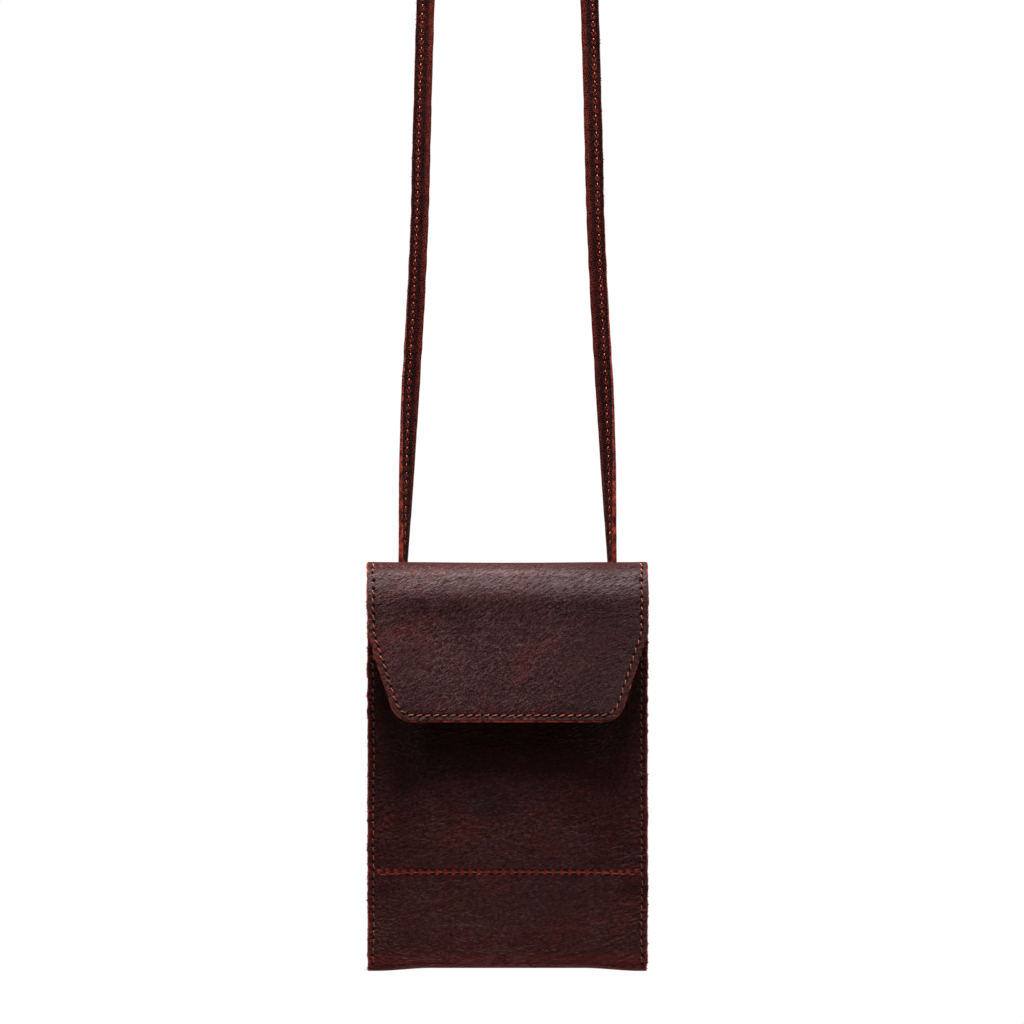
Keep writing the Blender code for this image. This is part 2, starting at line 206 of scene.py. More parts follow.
def dip(distance):
    """How far a line of stitches pulls the leather in at a distance from it."""
    return SEAM_DIP * exp(-((distance / SEAM_DIP_REACH) ** 2))


def edge_shift(x, z, seed):
    """Uneven cutting of the side edges."""
    near = smooth((abs(x) / HALF_WIDTH - (1 - EDGE_BAND_SHARE)) / EDGE_BAND_SHARE)
    side = 1 if x > 0 else -1
    slow = EDGE_RIPPLE * ripple(side, z, EDGE_RIPPLE_SIZE, seed)
    return side * near * (slow + EDGE_NUB * ripple(side, z, EDGE_NUB_SIZE, seed))


def swell(x):
    """How full the pouch is at x: 0 at the side seams, 1 across the middle."""
    return smooth((SEAM_HALF - abs(x)) / (SEAM_HALF * SHOULDER_SHARE))


def pinch(x, z):
    """How far apart front and back are kept: closer at the side seams, above and below the pocket."""
    past = max(z - POCKET_TOP_Z, POCKET_FOOT_Z - z)
    return PINCH - SIDE_CLOSE * (1 - swell(x)) * smooth(past / CLOSE_REACH)


def bottom_fold(x):
    """Radius and centre height of the bottom fold's mid-surface at x."""
    radius = (pinch(x, BOTTOM_Z) + PUFF * BOTTOM_PUFF_SHARE * swell(x)) / 2
    return radius, BOTTOM_Z + BOTTOM_LIFT * swell(x) + HIDE / 2 + radius


def front_y(x, z):
    """Where the front's mid-surface lies."""
    centre = bottom_fold(x)[1]
    up = smooth((z - centre) / ((MOUTH_Z - centre) * RISE_SHARE))
    full = BOTTOM_PUFF_SHARE + (1 - BOTTOM_PUFF_SHARE) * up
    return BACK_MID_Y - pinch(x, z) - PUFF * full * swell(x)


def front_relief(x, z):
    """The front's ripples and sewn dips, inwards."""
    calm = smooth((z - BOTTOM_Z) / CALM_REACH)
    wave = FRONT_RIPPLE * swell(x) * calm * ripple(x, z, RIPPLE_SIZE, FRONT_SEED)
    return wave + dip(abs(x) - SEAM_X) * calm + dip(z - SEAM_Z) * swell(x)


def body_point(x, along, depth):
    """A point of the body's hide: down the front from its mouth, round the bottom and up the back."""
    radius, centre = bottom_fold(x)
    outer = radius + HIDE / 2
    if along < BOTTOM_START:
        z = MOUTH_Z + (centre - MOUTH_Z) * along / BOTTOM_START
        y = front_y(x, z) - HIDE / 2 + depth + front_relief(x, z)
    elif along < BACK_START:
        angle = pi * (1 - (along - BOTTOM_START) / BOTTOM_LENGTH)
        y = BACK_MID_Y - radius + (outer - depth) * cos(angle)
        z = centre - (outer - depth) * sin(angle)
    else:
        z = centre + (FOLD_Z - centre) * (along - BACK_START) / BACK_LENGTH
        calm = smooth((z - BOTTOM_Z) / CALM_REACH) * smooth((FOLD_Z - z) / CALM_REACH)
        wave = BACK_RIPPLE * swell(x) * calm * ripple(x, z, RIPPLE_SIZE, BACK_SEED)
        y = BACK_FACE_Y - depth - abs(wave) - dip(abs(x) - SEAM_X) * calm
    z -= CORNER_DROOP * (1 - swell(x)) * smooth((BOTTOM_Z + DROOP_REACH - z) / DROOP_REACH)
    return Vector((x + edge_shift(x, z, EDGE_SEED), y, z))


def flap_edge_distance(x, along):
    """How far a point of the flap is inside its edge."""
    side = HALF_WIDTH - abs(x)
    taper = side * cos(TAPER_SLOPE) - (along - TAPER_START) * sin(TAPER_SLOPE)
    past_x = abs(x) - CORNER_X
    past_along = along - CORNER_ALONG
    if past_x > 0 and past_along > 0:
        return min(side, taper, TIP_CORNER - hypot(past_x, past_along))
    return min(side, taper, FLAP_LENGTH - along)


def wrap_point(x, distance, depth):
    """A point of the fold or the flap: distance along the outer face from the fold's start."""
    angle = min(max(distance / FOLD_RADIUS, 0), FOLD_END)
    past = distance - angle * FOLD_RADIUS
    on_flap = smooth(past / (FLAP_LENGTH / 2))
    relief = 0
    if past > 0:
        wave = FRONT_RIPPLE * ripple(x, past, RIPPLE_SIZE, FLAP_SEED)
        relief = on_flap * (wave + dip(flap_edge_distance(x, past) - FLAP_SEAM))
    shoulder = smooth((distance - FOLD_RADIUS * pi / 2) / SHOULDER_RISE)
    relief += SHOULDER * shoulder * smooth((FOLD_LENGTH + SHOULDER_DROP - distance) / SHOULDER_FALL)
    relief -= BROW * exp(-(((distance - FOLD_LENGTH - BROW_DROP) / BROW_REACH) ** 2)) * swell(x)
    radius = FOLD_RADIUS - depth - relief
    y = FOLD_Y + radius * cos(angle) - past * sin(angle)
    z = FOLD_Z + radius * sin(angle) + past * cos(angle)
    z -= TOP_SAG * sin(angle) * cos(x / HALF_WIDTH * pi / 2)
    return Vector((x + edge_shift(x, z, EDGE_SEED + FLAP_EDGE_SEED * on_flap), y, z))


def lining_point(x, along, depth):
    """A point of the lining: up behind the back, over the fold and down the flap."""
    if along < 0:
        return Vector((x, BACK_FACE_Y - LINING_DEPTH - depth, FOLD_Z + along))
    return wrap_point(x, along, LINING_DEPTH + depth)


def pocket_point(x, along, depth):
    """A point of the slip pocket's panel, down from its top."""
    z = POCKET_TOP_Z - along
    ease = GAP + (POCKET_EASE - GAP) * swell(x)
    y = front_y(x, z) + front_relief(x, z) + HIDE / 2 + ease + depth
    return Vector((x + edge_shift(x, z, EDGE_SEED), y, z))


def flap_point(x, along, depth):
    """A point of the flap, its distance from the fold's end."""
    return wrap_point(x, FOLD_LENGTH + along, depth)


def flap_lining_point(x, along, depth):
    """A point of the flap's lining."""
    return flap_point(x, along, LINING_DEPTH + depth)


def flap_outline(inset, start):
    """The flap's edge as flat points (x, along), a distance inside it, from one side to the other."""
    radius = TIP_CORNER - inset
    turn = inset * tan(TAPER_SLOPE / 2)
    right = [(HALF_WIDTH - inset, start), (HALF_WIDTH - inset, TAPER_START - turn)]
    for step in range(CORNER_STEPS + 1):
        angle = TAPER_SLOPE + (pi / 2 - TAPER_SLOPE) * step / CORNER_STEPS
        right.append((CORNER_X + radius * cos(angle), CORNER_ALONG + radius * sin(angle)))
    return right + [(-x, along) for x, along in reversed(right)]


# Materials

def srgb(red, green, blue):
    """A colour as a screen shows it, in Blender's linear values."""
    def linear(value):
        share = value / 255
        return share / 12.92 if share <= 0.04045 else ((share + 0.055) / 1.055) ** 2.4
    return (linear(red), linear(green), linear(blue), 1)


class Field:
    """A value that varies over a material, with its sums."""

    def __init__(self, nodes, socket):
        self.nodes = nodes
        self.socket = socket

    def math(self, operation, other=0.0):
        """One sum."""
        return self.nodes.node("Math", {0: self, 1: other}, operation=operation)

    def __add__(self, other):
        return self.math("ADD", other)

    def __sub__(self, other):
        return self.math("SUBTRACT", other)

    def __rsub__(self, other):
        return self.nodes.node("Math", {0: other, 1: self}, operation="SUBTRACT")

    def __mul__(self, other):
        return self.math("MULTIPLY", other)

    def __truediv__(self, other):
        return self.math("DIVIDE", other)

    def __abs__(self):
        return self.math("ABSOLUTE")

    def eased(self, low, high, from_value=0.0, to_value=1.0):
        """Goes smoothly from one result to another between low and high."""
        keys = {"Value": self, "From Min": low, "From Max": high, "To Min": from_value, "To Max": to_value}
        return self.nodes.node("MapRange", keys, interpolation_type="SMOOTHSTEP")


class Nodes:
    """A node tree, with a short way to add and link nodes."""

    def __init__(self, tree):
        self.tree = tree

    def feed(self, socket, value):
        """Puts a value or a field into a socket."""
        if isinstance(value, Field):
            self.tree.links.new(value.socket, socket)
        else:
            socket.default_value = value

    def node(self, kind, inputs, output=0, **settings):
        """An output of a new node, whose inputs take values or fields."""
        made = self.tree.nodes.new("ShaderNode" + kind)
        for key, value in settings.items():
            setattr(made, key, value)
        for key, value in inputs.items():
            self.feed(made.inputs[key], value)
        return Field(self, made.outputs[output])


class Look(Nodes):
    """A material made of patterns."""

    def __init__(self, name):
        self.material = bpy.data.materials.new(name)
        self.material.use_nodes = True
        super().__init__(self.material.node_tree)
        self.shader = self.tree.nodes["Principled BSDF"]

    def spot(self):
        """The point on the object."""
        return self.node("TexCoord", {}, "Object")

    def axes(self, vector):
        """A vector's X, Y and Z."""
        return [self.node("SeparateXYZ", {0: vector}, axis) for axis in range(3)]

    def place(self, turn=(0, 0, 0), stretch=(1, 1, 1)):
        """The point on the object, for a pattern that is stretched along turned axes."""
        keys = {"Vector": self.spot(), "Rotation": turn, "Scale": stretch}
        return self.node("Mapping", keys, vector_type="TEXTURE")

    def noise(self, where, scale, detail=3.0, roughness=0.55):
        """Soft noise, about half way between 0 and 1."""
        keys = {"Vector": where, "Scale": scale, "Detail": detail, "Roughness": roughness}
        return self.node("TexNoise", keys)

    def patches(self, where, pattern):
        """Noise eased between levels, from a pattern of both."""
        grain_size, levels = pattern
        return self.noise(where, *grain_size).eased(*levels)

    def waver(self, scale, detail, reach):
        """Noise about 0."""
        return (self.noise(self.place(), scale, detail) - 0.5) * reach

    def cells(self, where, scale, feature="F1"):
        """Distance in a pattern of cells."""
        return self.node("TexVoronoi", {"Vector": where, "Scale": scale}, feature=feature)

    def line(self, where, scale, width, detail=2.0):
        """Thin wandering lines: 1 on a line and 0 a little off it."""
        return abs(self.noise(where, scale, detail) - 0.5).eased(width, 0.0)

    def mix(self, share, first, second):
        """One colour over another."""
        return self.node("Mix", {"Factor": share, "A": first, "B": second}, "Result", data_type="RGBA")

    def bump(self, height, distance, strength, below=None):
        """A bump of that height, over another one."""
        keys = {"Height": height, "Distance": distance, "Strength": strength}
        if below is not None:
            keys["Normal"] = below
        return self.node("Bump", keys)

    def finish(self, colour, rough, normal=None, **constants):
        """Sets the shader and gives the material."""
        self.feed(self.shader.inputs["Base Color"], colour)
        self.feed(self.shader.inputs["Roughness"], rough)
        if normal is not None:
            self.feed(self.shader.inputs["Normal"], normal)
        for key, value in constants.items():
            self.shader.inputs[key.replace("_", " ")].default_value = value
        return self.material


# Directions and stretches of the grain
CREASE_TURN = (0, radians(-38), 0)
BODY_TURN = (0, radians(-19), 0)
WRINKLE_TURN = (0, radians(-14), 0)
UNTURNED = (0, 0, 0)
GRAIN_STRETCH = (1.7, 1, 1)
STRAND_STRETCH = (4.6, 1, 1)
WRINKLE_STRETCH = (3.2, 1, 1)
PULL_STRETCH = (3.0, 1, 1)
GLINT_STRETCH = (4.5, 1, 1)
STREAK_STRETCH = (4.0, 1, 1)
SPECK_STRETCH = (1.6, 1, 1)
STRAP_STRETCH = (1, 1, 0.6)
STRAP_STRANDS = (1, 1, 0.3)
STRAP_WRINKLES = (1, 1, 0.35)

# Patterns: a noise's scale, detail and roughness, then the levels it is eased between and their results
STRANDS = ((1500.0, 3.0, 0.6), (0.34, 0.68))
WORN = ((95.0,), (0.35, 0.65))
MOTTLE = ((38.0, 4.0), (0.32, 0.68))
PULLED = ((85.0, 6.0, 0.66), (0.50, 0.72))
GLINT_FADE = ((60.0, 3.0), (0.35, 0.65, 0.6, 1.0))
WRINKLE_FADE = ((40.0,), (0.35, 0.6, 0.25, 1.0))
HIDE_ROUGH = ((55.0,), (0.3, 0.7, 0.40, 0.50))
STREAKS = ((1100.0, 3.0, 0.65), (0.36, 0.62, 0.12, 1.0))
SPECKS = ((1300.0, 3.0, 0.6), (0.36, 0.60, 0.3, 1.0))
FOOT_PATCHES = ((90.0, 4.0), (0.25, 0.7, 0.45, 0.85))
RAW_TONE = ((420.0, 4.0), (0.35, 0.65))
RAW_PATCHES = ((120.0,), (0.35, 0.65))
FLESH_TONE = ((300.0, 5.0), (0.3, 0.7))
LINING_TONE = ((60.0, 5.0), (0.3, 0.7))
THREAD_TONE = ((1100.0, 3.0), (0.3, 0.7))
HOLE_TONE = ((1500.0,), (0.3, 0.7))
METAL_TONE = ((260.0, 5.0), (0.3, 0.7))
METAL_ROUGH = ((500.0, 4.0), (0.3, 0.7, 0.22, 0.42))
FLOOR_TONE = ((6.0,), (0.3, 0.7))
STRAP_MOTTLE = ((45.0, 4.0), (0.32, 0.68))
STRAP_STREAKS = ((230.0, 4.0), (0.3, 0.7, 0.35, 0.9))
STRAP_ROUGH = ((90.0,), (0.3, 0.7, 0.40, 0.52))

# Grain of the hide
GRAIN_SCALE = 1150
FINE_SCALE = 2300
GRIT = (900.0, 5.0, 0.65)
WARP_SCALE = 240.0
WARP = 0.0020
PEBBLE_EDGE = 0.42
FINE_EDGE = 0.4
FINE_SHARE = 0.3
GRIT_SHARE = 0.35
WORN_SHARE = 0.7
PEBBLED_SHARE = 0.5
HEIGHT_SHARE = 0.7


def grain(look, turn, stretch, strand_stretch, scale=GRAIN_SCALE, pebbled=PEBBLED_SHARE):
    """The grain: its height, how far up its pebble each point is, and the strands' share."""
    where = look.place(turn, stretch)
    warp = look.node("TexNoise", {"Vector": where, "Scale": WARP_SCALE, "Detail": 3.0}, "Color")
    pushed = look.node("VectorMath", {0: warp, 1: (WARP, WARP, WARP), 2: where}, operation="MULTIPLY_ADD")
    pebbles = look.cells(pushed, scale, "DISTANCE_TO_EDGE").eased(0.0, PEBBLE_EDGE)
    fine = look.cells(pushed, FINE_SCALE, "DISTANCE_TO_EDGE").eased(0.0, FINE_EDGE)
    strands = look.patches(look.place(turn, strand_stretch), STRANDS)
    height = pebbles * pebbled + fine * FINE_SHARE
    height *= look.patches(where, WORN) * WORN_SHARE + (1 - WORN_SHARE)
    height += strands * (HEIGHT_SHARE - pebbled / 2)
    return height + look.noise(where, *GRIT) * GRIT_SHARE, pebbles, strands


# Marks, painted light and painted shade on the hide: how far they reach, and their shares
CREASE_LEVELS = (0.75, 0.1)
CREASE_STRANDS_SHARE = 0.6
CREASE_SHARE = 0.65
CREASE_ROUGH_SHARE = 0.16
PULLED_SHARE = 0.45
GLINT_LINES = (1300.0, 0.05)
WRINKLE_LINES = (210.0, 0.07, 3.0)
WRINKLE_DEPTH = 0.00032
GRAIN_STRENGTH = 0.95
DARK_WAVER = (30.0, 3.0, 0.05)
DARK_LEVELS = (0.005, 0.045, 0.0, 0.55)
FOLD_WAVER = (45.0, 4.0, 0.006)
PAINTED_SHEEN_TOP = (0.0014, 0.0060)
PAINTED_SHEEN_FOOT = (0.0180, 0.0060)
PAINTED_SHEEN_SHARE = 0.85
FOLD_TOP = (0.0064, 0.0010, 0.0, 0.92)
FOLD_RIM = (0.0022, 0.0003, 0.0, 0.95)
UPPER_PAINTED_SHADE = (0.030, 0.106, 0.0, 0.45)
FOOT_PAINTED_LIGHT = (0.055, 0.012, 0.0, 0.14)
FOOT_RED = (0.0085, 0.0025)
FOOT_RIM = (0.0036, 0.0016, 0.0, 0.9)
SPOT_HEIGHT = 0.0013
SPOT_NARROWING = 2.6
SPOT_WAVER = (1300.0, 3.0, 1.9)
SPOT_LEVELS = (1.25, 0.55)
SPOT_FRONT = (-0.0095, -0.0075, 1.0, 0.0)
SPOT_ENDS = (0.0555, 0.0565, 1.0, 0.0)
SPOT_SHARE = 0.9


def hide_look(name, colours, glint_share, shine, sheen, wrinkles, turn, scale, pebbled, relief, marks_and_painted_light):
    """Oiled pull-up hide: dark brown with red where it was bent, painted shade in the grain's creases, and
    pale lines of painted highlight where the grain would catch light.
    """
    dark, brown, red, glint = colours
    look = Look(name)
    height, pebbles, strands = grain(look, turn, GRAIN_STRETCH, STRAND_STRETCH, scale, pebbled)
    where = look.place()
    colour = look.mix(look.patches(where, MOTTLE), dark, brown)
    pulled = look.patches(look.place(turn, PULL_STRETCH), PULLED)
    colour = look.mix(pulled * PULLED_SHARE, colour, red)
    # darker grain creases: painted shade in the grain's hollows
    crease = (pebbles + strands * CREASE_STRANDS_SHARE).eased(*CREASE_LEVELS)
    colour = look.mix(crease * CREASE_SHARE, colour, srgb(17, 6, 6))
    # pale thin lines of painted highlight: the grain's glints painted into its colour
    thin = look.line(look.place(turn, GLINT_STRETCH), *GLINT_LINES)
    colour = look.mix(thin * look.patches(where, GLINT_FADE) * glint_share, colour, glint)
    for overlay in marks_and_painted_light:
        colour = overlay(look, colour)
    rough = look.patches(where, HIDE_ROUGH) + crease * CREASE_ROUGH_SHARE
    wrinkle = look.line(look.place(WRINKLE_TURN, WRINKLE_STRETCH), *WRINKLE_LINES)
    wrinkle *= look.patches(where, WRINKLE_FADE)
    normal = look.bump(height, relief, GRAIN_STRENGTH, look.bump(wrinkle, WRINKLE_DEPTH, wrinkles))
    return look.finish(
        colour, rough, normal, Specular_IOR_Level=shine, Sheen_Weight=sheen, Sheen_Roughness=0.4,
    )


def dark_side(look, colour):
    """Darker, greyer hide towards the flap's right side."""
    across = look.axes(look.spot())[0] + look.waver(*DARK_WAVER)
    return look.mix(across.eased(*DARK_LEVELS), colour, srgb(30, 21, 21))


def fold_sheen_and_shade(look, colour):
    """A painted sheen down the front of the fold, and painted shade along its top, deepest in a dark red line
    along the crest.
    """
    _, y, z = look.axes(look.spot())
    below = TOP_Z - z
    drop = below + look.waver(*FOLD_WAVER)
    # painted sheen: the top light's haze on the fold's front, painted as paler grey hide in streaks
    painted_sheen = drop.eased(*PAINTED_SHEEN_TOP) * drop.eased(*PAINTED_SHEEN_FOOT) * y.eased(FOLD_Y + FOLD_RADIUS / 2, FOLD_Y)
    painted_sheen *= look.patches(look.place(CREASE_TURN, STREAK_STRETCH), STREAKS) * PAINTED_SHEEN_SHARE
    colour = look.mix(painted_sheen, colour, srgb(76, 64, 64))
    # painted shade over the fold's top in specks, where the top light falls strongest, then a dark red line
    # of painted shade along the crest
    specks = look.patches(look.place(CREASE_TURN, SPECK_STRETCH), SPECKS)
    colour = look.mix(below.eased(*FOLD_TOP) * specks, colour, srgb(25, 8, 8))
    return look.mix(below.eased(*FOLD_RIM), colour, srgb(30, 3, 3))


def foot_painted_light(look, colour):
    """Painted shade below the flap, painted light low on the front, and red along the bottom fold that is
    partly pulled-up hide and partly painted bounce light.
    """
    above = look.axes(look.spot())[2] - BOTTOM_Z
    # painted shadow of the flap, deepening up to the flap's edge
    colour = look.mix(above.eased(*UPPER_PAINTED_SHADE), colour, srgb(22, 9, 9))
    # painted light: paler towards the bottom
    colour = look.mix(above.eased(*FOOT_PAINTED_LIGHT), colour, srgb(68, 40, 38))
    patches = look.patches(look.place(), FOOT_PATCHES)
    # red along the bottom fold: partly pulled-up hide, partly painted bounce light from below
    colour = look.mix(above.eased(*FOOT_RED) * patches, colour, srgb(74, 25, 23))
    return look.mix(above.eased(*FOOT_RIM), colour, srgb(58, 17, 15))


def seam_marks(look, colour):
    """Red rubbed leather round each needle hole of the seam across the front."""
    x, y, z = look.axes(look.spot())
    phase = abs(((x + 1.0) / PITCH).math("FRACT") - SEAM_PHASE)
    height = abs(z - SEAM_Z) / SPOT_HEIGHT
    far = phase * SPOT_NARROWING + height * height + look.waver(*SPOT_WAVER)
    share = far.eased(*SPOT_LEVELS) * y.eased(*SPOT_FRONT) * abs(x).eased(*SPOT_ENDS) * SPOT_SHARE
    return look.mix(share, colour, srgb(112, 34, 27))


RAW_DEEP_SHARE = 0.45


def plain_look(name, tone, shade, light, rough, relief=None, deep=None, **constants):
    """Two colours in a tone's pattern, with deeper patches and a relief where they are given.

    A relief is its pattern's kind and numbers, its depth and its strength.
    """
    look = Look(name)
    where = look.place()
    colour = look.mix(look.patches(where, tone), shade, light)
    if deep is not None:
        colour = look.mix(look.patches(where, RAW_PATCHES) * RAW_DEEP_SHARE, colour, deep)
    if isinstance(rough, tuple):
        rough = look.patches(where, rough)
    normal = None
    if relief is not None:
        kind, numbers, depth, strength = relief
        normal = look.bump(kind(look, where, *numbers), depth, strength)
    return look.finish(colour, rough, normal, **constants)


STRAP_PITCH = 0.00366
STRAP_SEAM = 0.00125
STRAP_WORN_AND_HIGHLIGHT = (-0.0008, -0.0028)
STRAP_RIM = (-0.0033, -0.0036)
RIDGE_SLOPE = 330.0
RIDGE_LEVELS = (0.24, 0.08)
RIDGE_REACH = (0.00115, 0.0007)
RIDGE_SHARE = 0.7
STRAP_CREASE_SHARE = 0.5
STRAP_WRINKLE = (480.0, 4.0)
STRAP_GRAIN_RELIEF = (0.00022, 0.8)
STRAP_MARK_RELIEF = (0.00025, 0.7)


def strap_look(name):
    """The strap's hide, whose UV map is metres along it and across it."""
    look = Look(name)
    along, across, _ = look.axes(look.node("UVMap", {}))
    height, pebbles, strands = grain(look, UNTURNED, STRAP_STRETCH, STRAP_STRANDS)
    where = look.place()
    colour = look.mix(look.patches(where, STRAP_MOTTLE), srgb(32, 13, 13), srgb(52, 20, 19))
    # darker grain creases: painted shade in the grain's hollows
    colour = look.mix((1.0 - pebbles) * STRAP_CREASE_SHARE, colour, srgb(18, 6, 6))
    # paler red near the folded edge: partly worn pull-up hide, partly a painted highlight
    worn_and_highlight = across.eased(*STRAP_WORN_AND_HIGHLIGHT) * look.patches(where, STRAP_STREAKS)
    colour = look.mix(worn_and_highlight, colour, srgb(92, 32, 26))
    colour = look.mix(across.eased(*STRAP_RIM), colour, srgb(74, 16, 17))
    off = abs(across - STRAP_SEAM)
    ridge = abs((along / STRAP_PITCH - off * RIDGE_SLOPE).math("FRACT") - 0.5)
    overlay = ridge.eased(*RIDGE_LEVELS) * off.eased(*RIDGE_REACH)
    colour = look.mix(overlay * RIDGE_SHARE, colour, srgb(118, 42, 34))
    wrinkle = look.noise(look.place(UNTURNED, STRAP_WRINKLES), *STRAP_WRINKLE) + strands + overlay
    normal = look.bump(wrinkle, *STRAP_MARK_RELIEF, look.bump(height, *STRAP_GRAIN_RELIEF))
    return look.finish(
        colour, look.patches(where, STRAP_ROUGH), normal,
        Specular_IOR_Level=0.0, Sheen_Weight=0.03, Sheen_Roughness=0.4,
    )


GRAIN = hide_look(
    "grain_side", (srgb(41, 15, 15), srgb(52, 21, 19), srgb(76, 24, 19), srgb(104, 50, 42)),
    glint_share=0.38, shine=0.03, sheen=0.01, wrinkles=1.2, turn=BODY_TURN, scale=560.0, pebbled=1.0,
    relief=0.00046, marks_and_painted_light=(foot_painted_light, seam_marks),
)
# The flap's hide is the body's hide in greyer, paler colours with grey glint lines: a painted sheen of the
# top light.
FLAP_GRAIN_PAINTED_SHEEN = hide_look(
    "flap_grain_side_painted_sheen", (srgb(42, 23, 24), srgb(53, 28, 28), srgb(82, 29, 28), srgb(106, 82, 80)),
    glint_share=0.36, shine=0.012, sheen=0.015, wrinkles=0.3, turn=CREASE_TURN, scale=GRAIN_SCALE,
    pebbled=PEBBLED_SHARE, relief=0.00031, marks_and_painted_light=(dark_side, fold_sheen_and_shade),
)
STRAP_GRAIN = strap_look("strap_grain")
RAW_FINISH = {
    "rough": 0.92, "relief": (Look.noise, (2600.0, 5.0, 0.7), 0.00025, 0.8),
    "Specular_IOR_Level": 0.03, "Sheen_Weight": 0.03, "Sheen_Roughness": 0.5,
}
RAW = plain_look(
    "raw_edge", RAW_TONE, srgb(80, 17, 12), srgb(152, 50, 33), deep=srgb(74, 15, 10), **RAW_FINISH,
)
DARK_RAW = plain_look(
    "dark_raw_edge", RAW_TONE, srgb(50, 11, 9), srgb(142, 52, 36), deep=srgb(52, 12, 10), **RAW_FINISH,
)
FLESH = plain_look(
    "flesh_side", FLESH_TONE, srgb(92, 42, 32), srgb(124, 62, 46), 0.95,
    (Look.noise, (1800.0, 5.0, 0.7), 0.0003, 0.7),
    Specular_IOR_Level=0.08, Sheen_Weight=0.05, Sheen_Roughness=0.5,
)
LINING_LEATHER = plain_look(
    "lining_leather", LINING_TONE, srgb(96, 48, 36), srgb(118, 62, 46), 0.68,
    (Look.cells, (1900.0,), 0.00012, 0.6), Specular_IOR_Level=0.4,
)
THREAD = plain_look(
    "thread", THREAD_TONE, srgb(92, 42, 28), srgb(150, 76, 48), 0.62,
    (Look.noise, (5200.0, 3.0), 0.00012, 0.6), Specular_IOR_Level=0.10,
)
# needle holes are near-black lenses: painted shade of the holes' insides
NEEDLE_HOLE_SHADE = plain_look(
    "needle_hole_shade", HOLE_TONE, srgb(7, 2, 2), srgb(16, 5, 5), 0.95, Specular_IOR_Level=0.05,
)
METAL = plain_look(
    "snap_plating", METAL_TONE, srgb(150, 122, 84), srgb(196, 168, 122), METAL_ROUGH,
    (Look.noise, (3000.0, 3.0), 0.00004, 0.4), Metallic=1.0,
)
HIDE_SIDES = [GRAIN, FLESH, RAW]
FLAP_SIDES = [FLAP_GRAIN_PAINTED_SHEEN, FLESH, DARK_RAW]
LINING_SIDES = [FLESH, LINING_LEATHER, RAW]


# Meshes

def add_piece(name, bm, materials, angle=38):
    """Turns a bmesh into a piece of the scene."""
    mesh = bpy.data.meshes.new(name)
    bm.to_mesh(mesh)
    bm.free()
    for material in materials:
        mesh.materials.append(material)
    mesh.shade_smooth()
    mesh.set_sharp_from_angle(angle=radians(angle))
    piece = bpy.data.objects.new(name, mesh)
    bpy.context.scene.collection.objects.link(piece)
    return piece


def stand_in(piece, body, node):
    """Puts a piece on a body in place of a CAD node."""
    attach(piece, body)
    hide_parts(node)


def face_outwards(bm):
    """Turns the faces of closed shapes to look outwards."""
    bmesh.ops.recalc_face_normals(bm, faces=bm.faces)
    if bm.calc_volume(signed=True) < 0:
        bmesh.ops.reverse_faces(bm, faces=bm.faces)


def spread(start, end, step):
    """Even places strictly between start and end, about a step apart."""
    count = max(ceil((end - start) / step), 1)
    return [start + (end - start) * index / count for index in range(1, count)]


def grid_cuts(across, along):
    """Cuts across the sheet at each of the given places and lengthwise at each of the others."""
    return [((x, 0), (1, 0)) for x in across] + [((0, distance), (0, 1)) for distance in along]


def even_cuts(across_step, start, end, along_step):
    """Even cuts over the whole width, from start to end."""
    return grid_cuts(spread(-HALF_WIDTH, HALF_WIDTH, across_step), spread(start, end, along_step))


def rectangle(half, start, end):
    """A flat rectangle."""
    return [(-half, start), (half, start), (half, end), (-half, end)]


EDGE_ROUND = 0.00055
EDGE_ROUND_SHARE = 0.4
RIM_SEGMENTS = 3
OUTER_FLATNESS = 0.98
INNER_FLATNESS = 0.9
TOP_BAND_SHARE = 0.25
BUTT_SHARE = 0.01
CUT_SHARE = 0.0001


def leather(name, outline, cuts, place, thickness, materials, butts=()):
    """A sheet of leather: a flat outline with rounded rims, sliced along its cuts and bent by place.

    Butts are the distances along the sheet at which it goes on in another piece, with no rim there.
    """
    bm = bmesh.new()
    top = [bm.verts.new((x, along, 0)) for x, along in outline]
    under = [bm.verts.new((x, along, -thickness)) for x, along in outline]
    bm.faces.new(top)
    bm.faces.new(reversed(under))
    for index in range(len(outline)):
        after = (index + 1) % len(outline)
        bm.faces.new((top[index], under[index], under[after], top[after]))
    bmesh.ops.recalc_face_normals(bm, faces=bm.faces)

    def is_rim(edge):
        ends = [vertex.co for vertex in edge.verts]
        if any(abs(end.z) > thickness * TOP_BAND_SHARE for end in ends):
            return False
        return not any(all(abs(end.y - butt) < thickness * BUTT_SHARE for end in ends) for butt in butts)

    bmesh.ops.bevel(
        bm, geom=[edge for edge in bm.edges if is_rim(edge)],
        offset=min(EDGE_ROUND, thickness * EDGE_ROUND_SHARE), offset_type="OFFSET",
        segments=RIM_SEGMENTS, profile=0.5, affect="EDGES", clamp_overlap=True,
    )
    for point, across in cuts:
        everything = bm.verts[:] + bm.edges[:] + bm.faces[:]
        bmesh.ops.bisect_plane(
            bm, geom=everything, plane_co=(*point, 0), plane_no=(*across, 0), dist=thickness * CUT_SHARE,
        )
    bm.normal_update()
    for face in bm.faces:
        if face.normal.z > OUTER_FLATNESS:
            face.material_index = 0
        elif face.normal.z < -INNER_FLATNESS:
            face.material_index = 1
        else:
            face.material_index = 2
    for vertex in bm.verts:
        vertex.co = place(vertex.co.x, vertex.co.y, -vertex.co.z)
    face_outwards(bm)
    return add_piece(name, bm, materials)


def circle(centre, across, other, radius, sides):
    """Points round a centre."""
    angles = [2 * pi * side / sides for side in range(sides)]
    return [centre + (across * cos(angle) + other * sin(angle)) * radius for angle in angles]


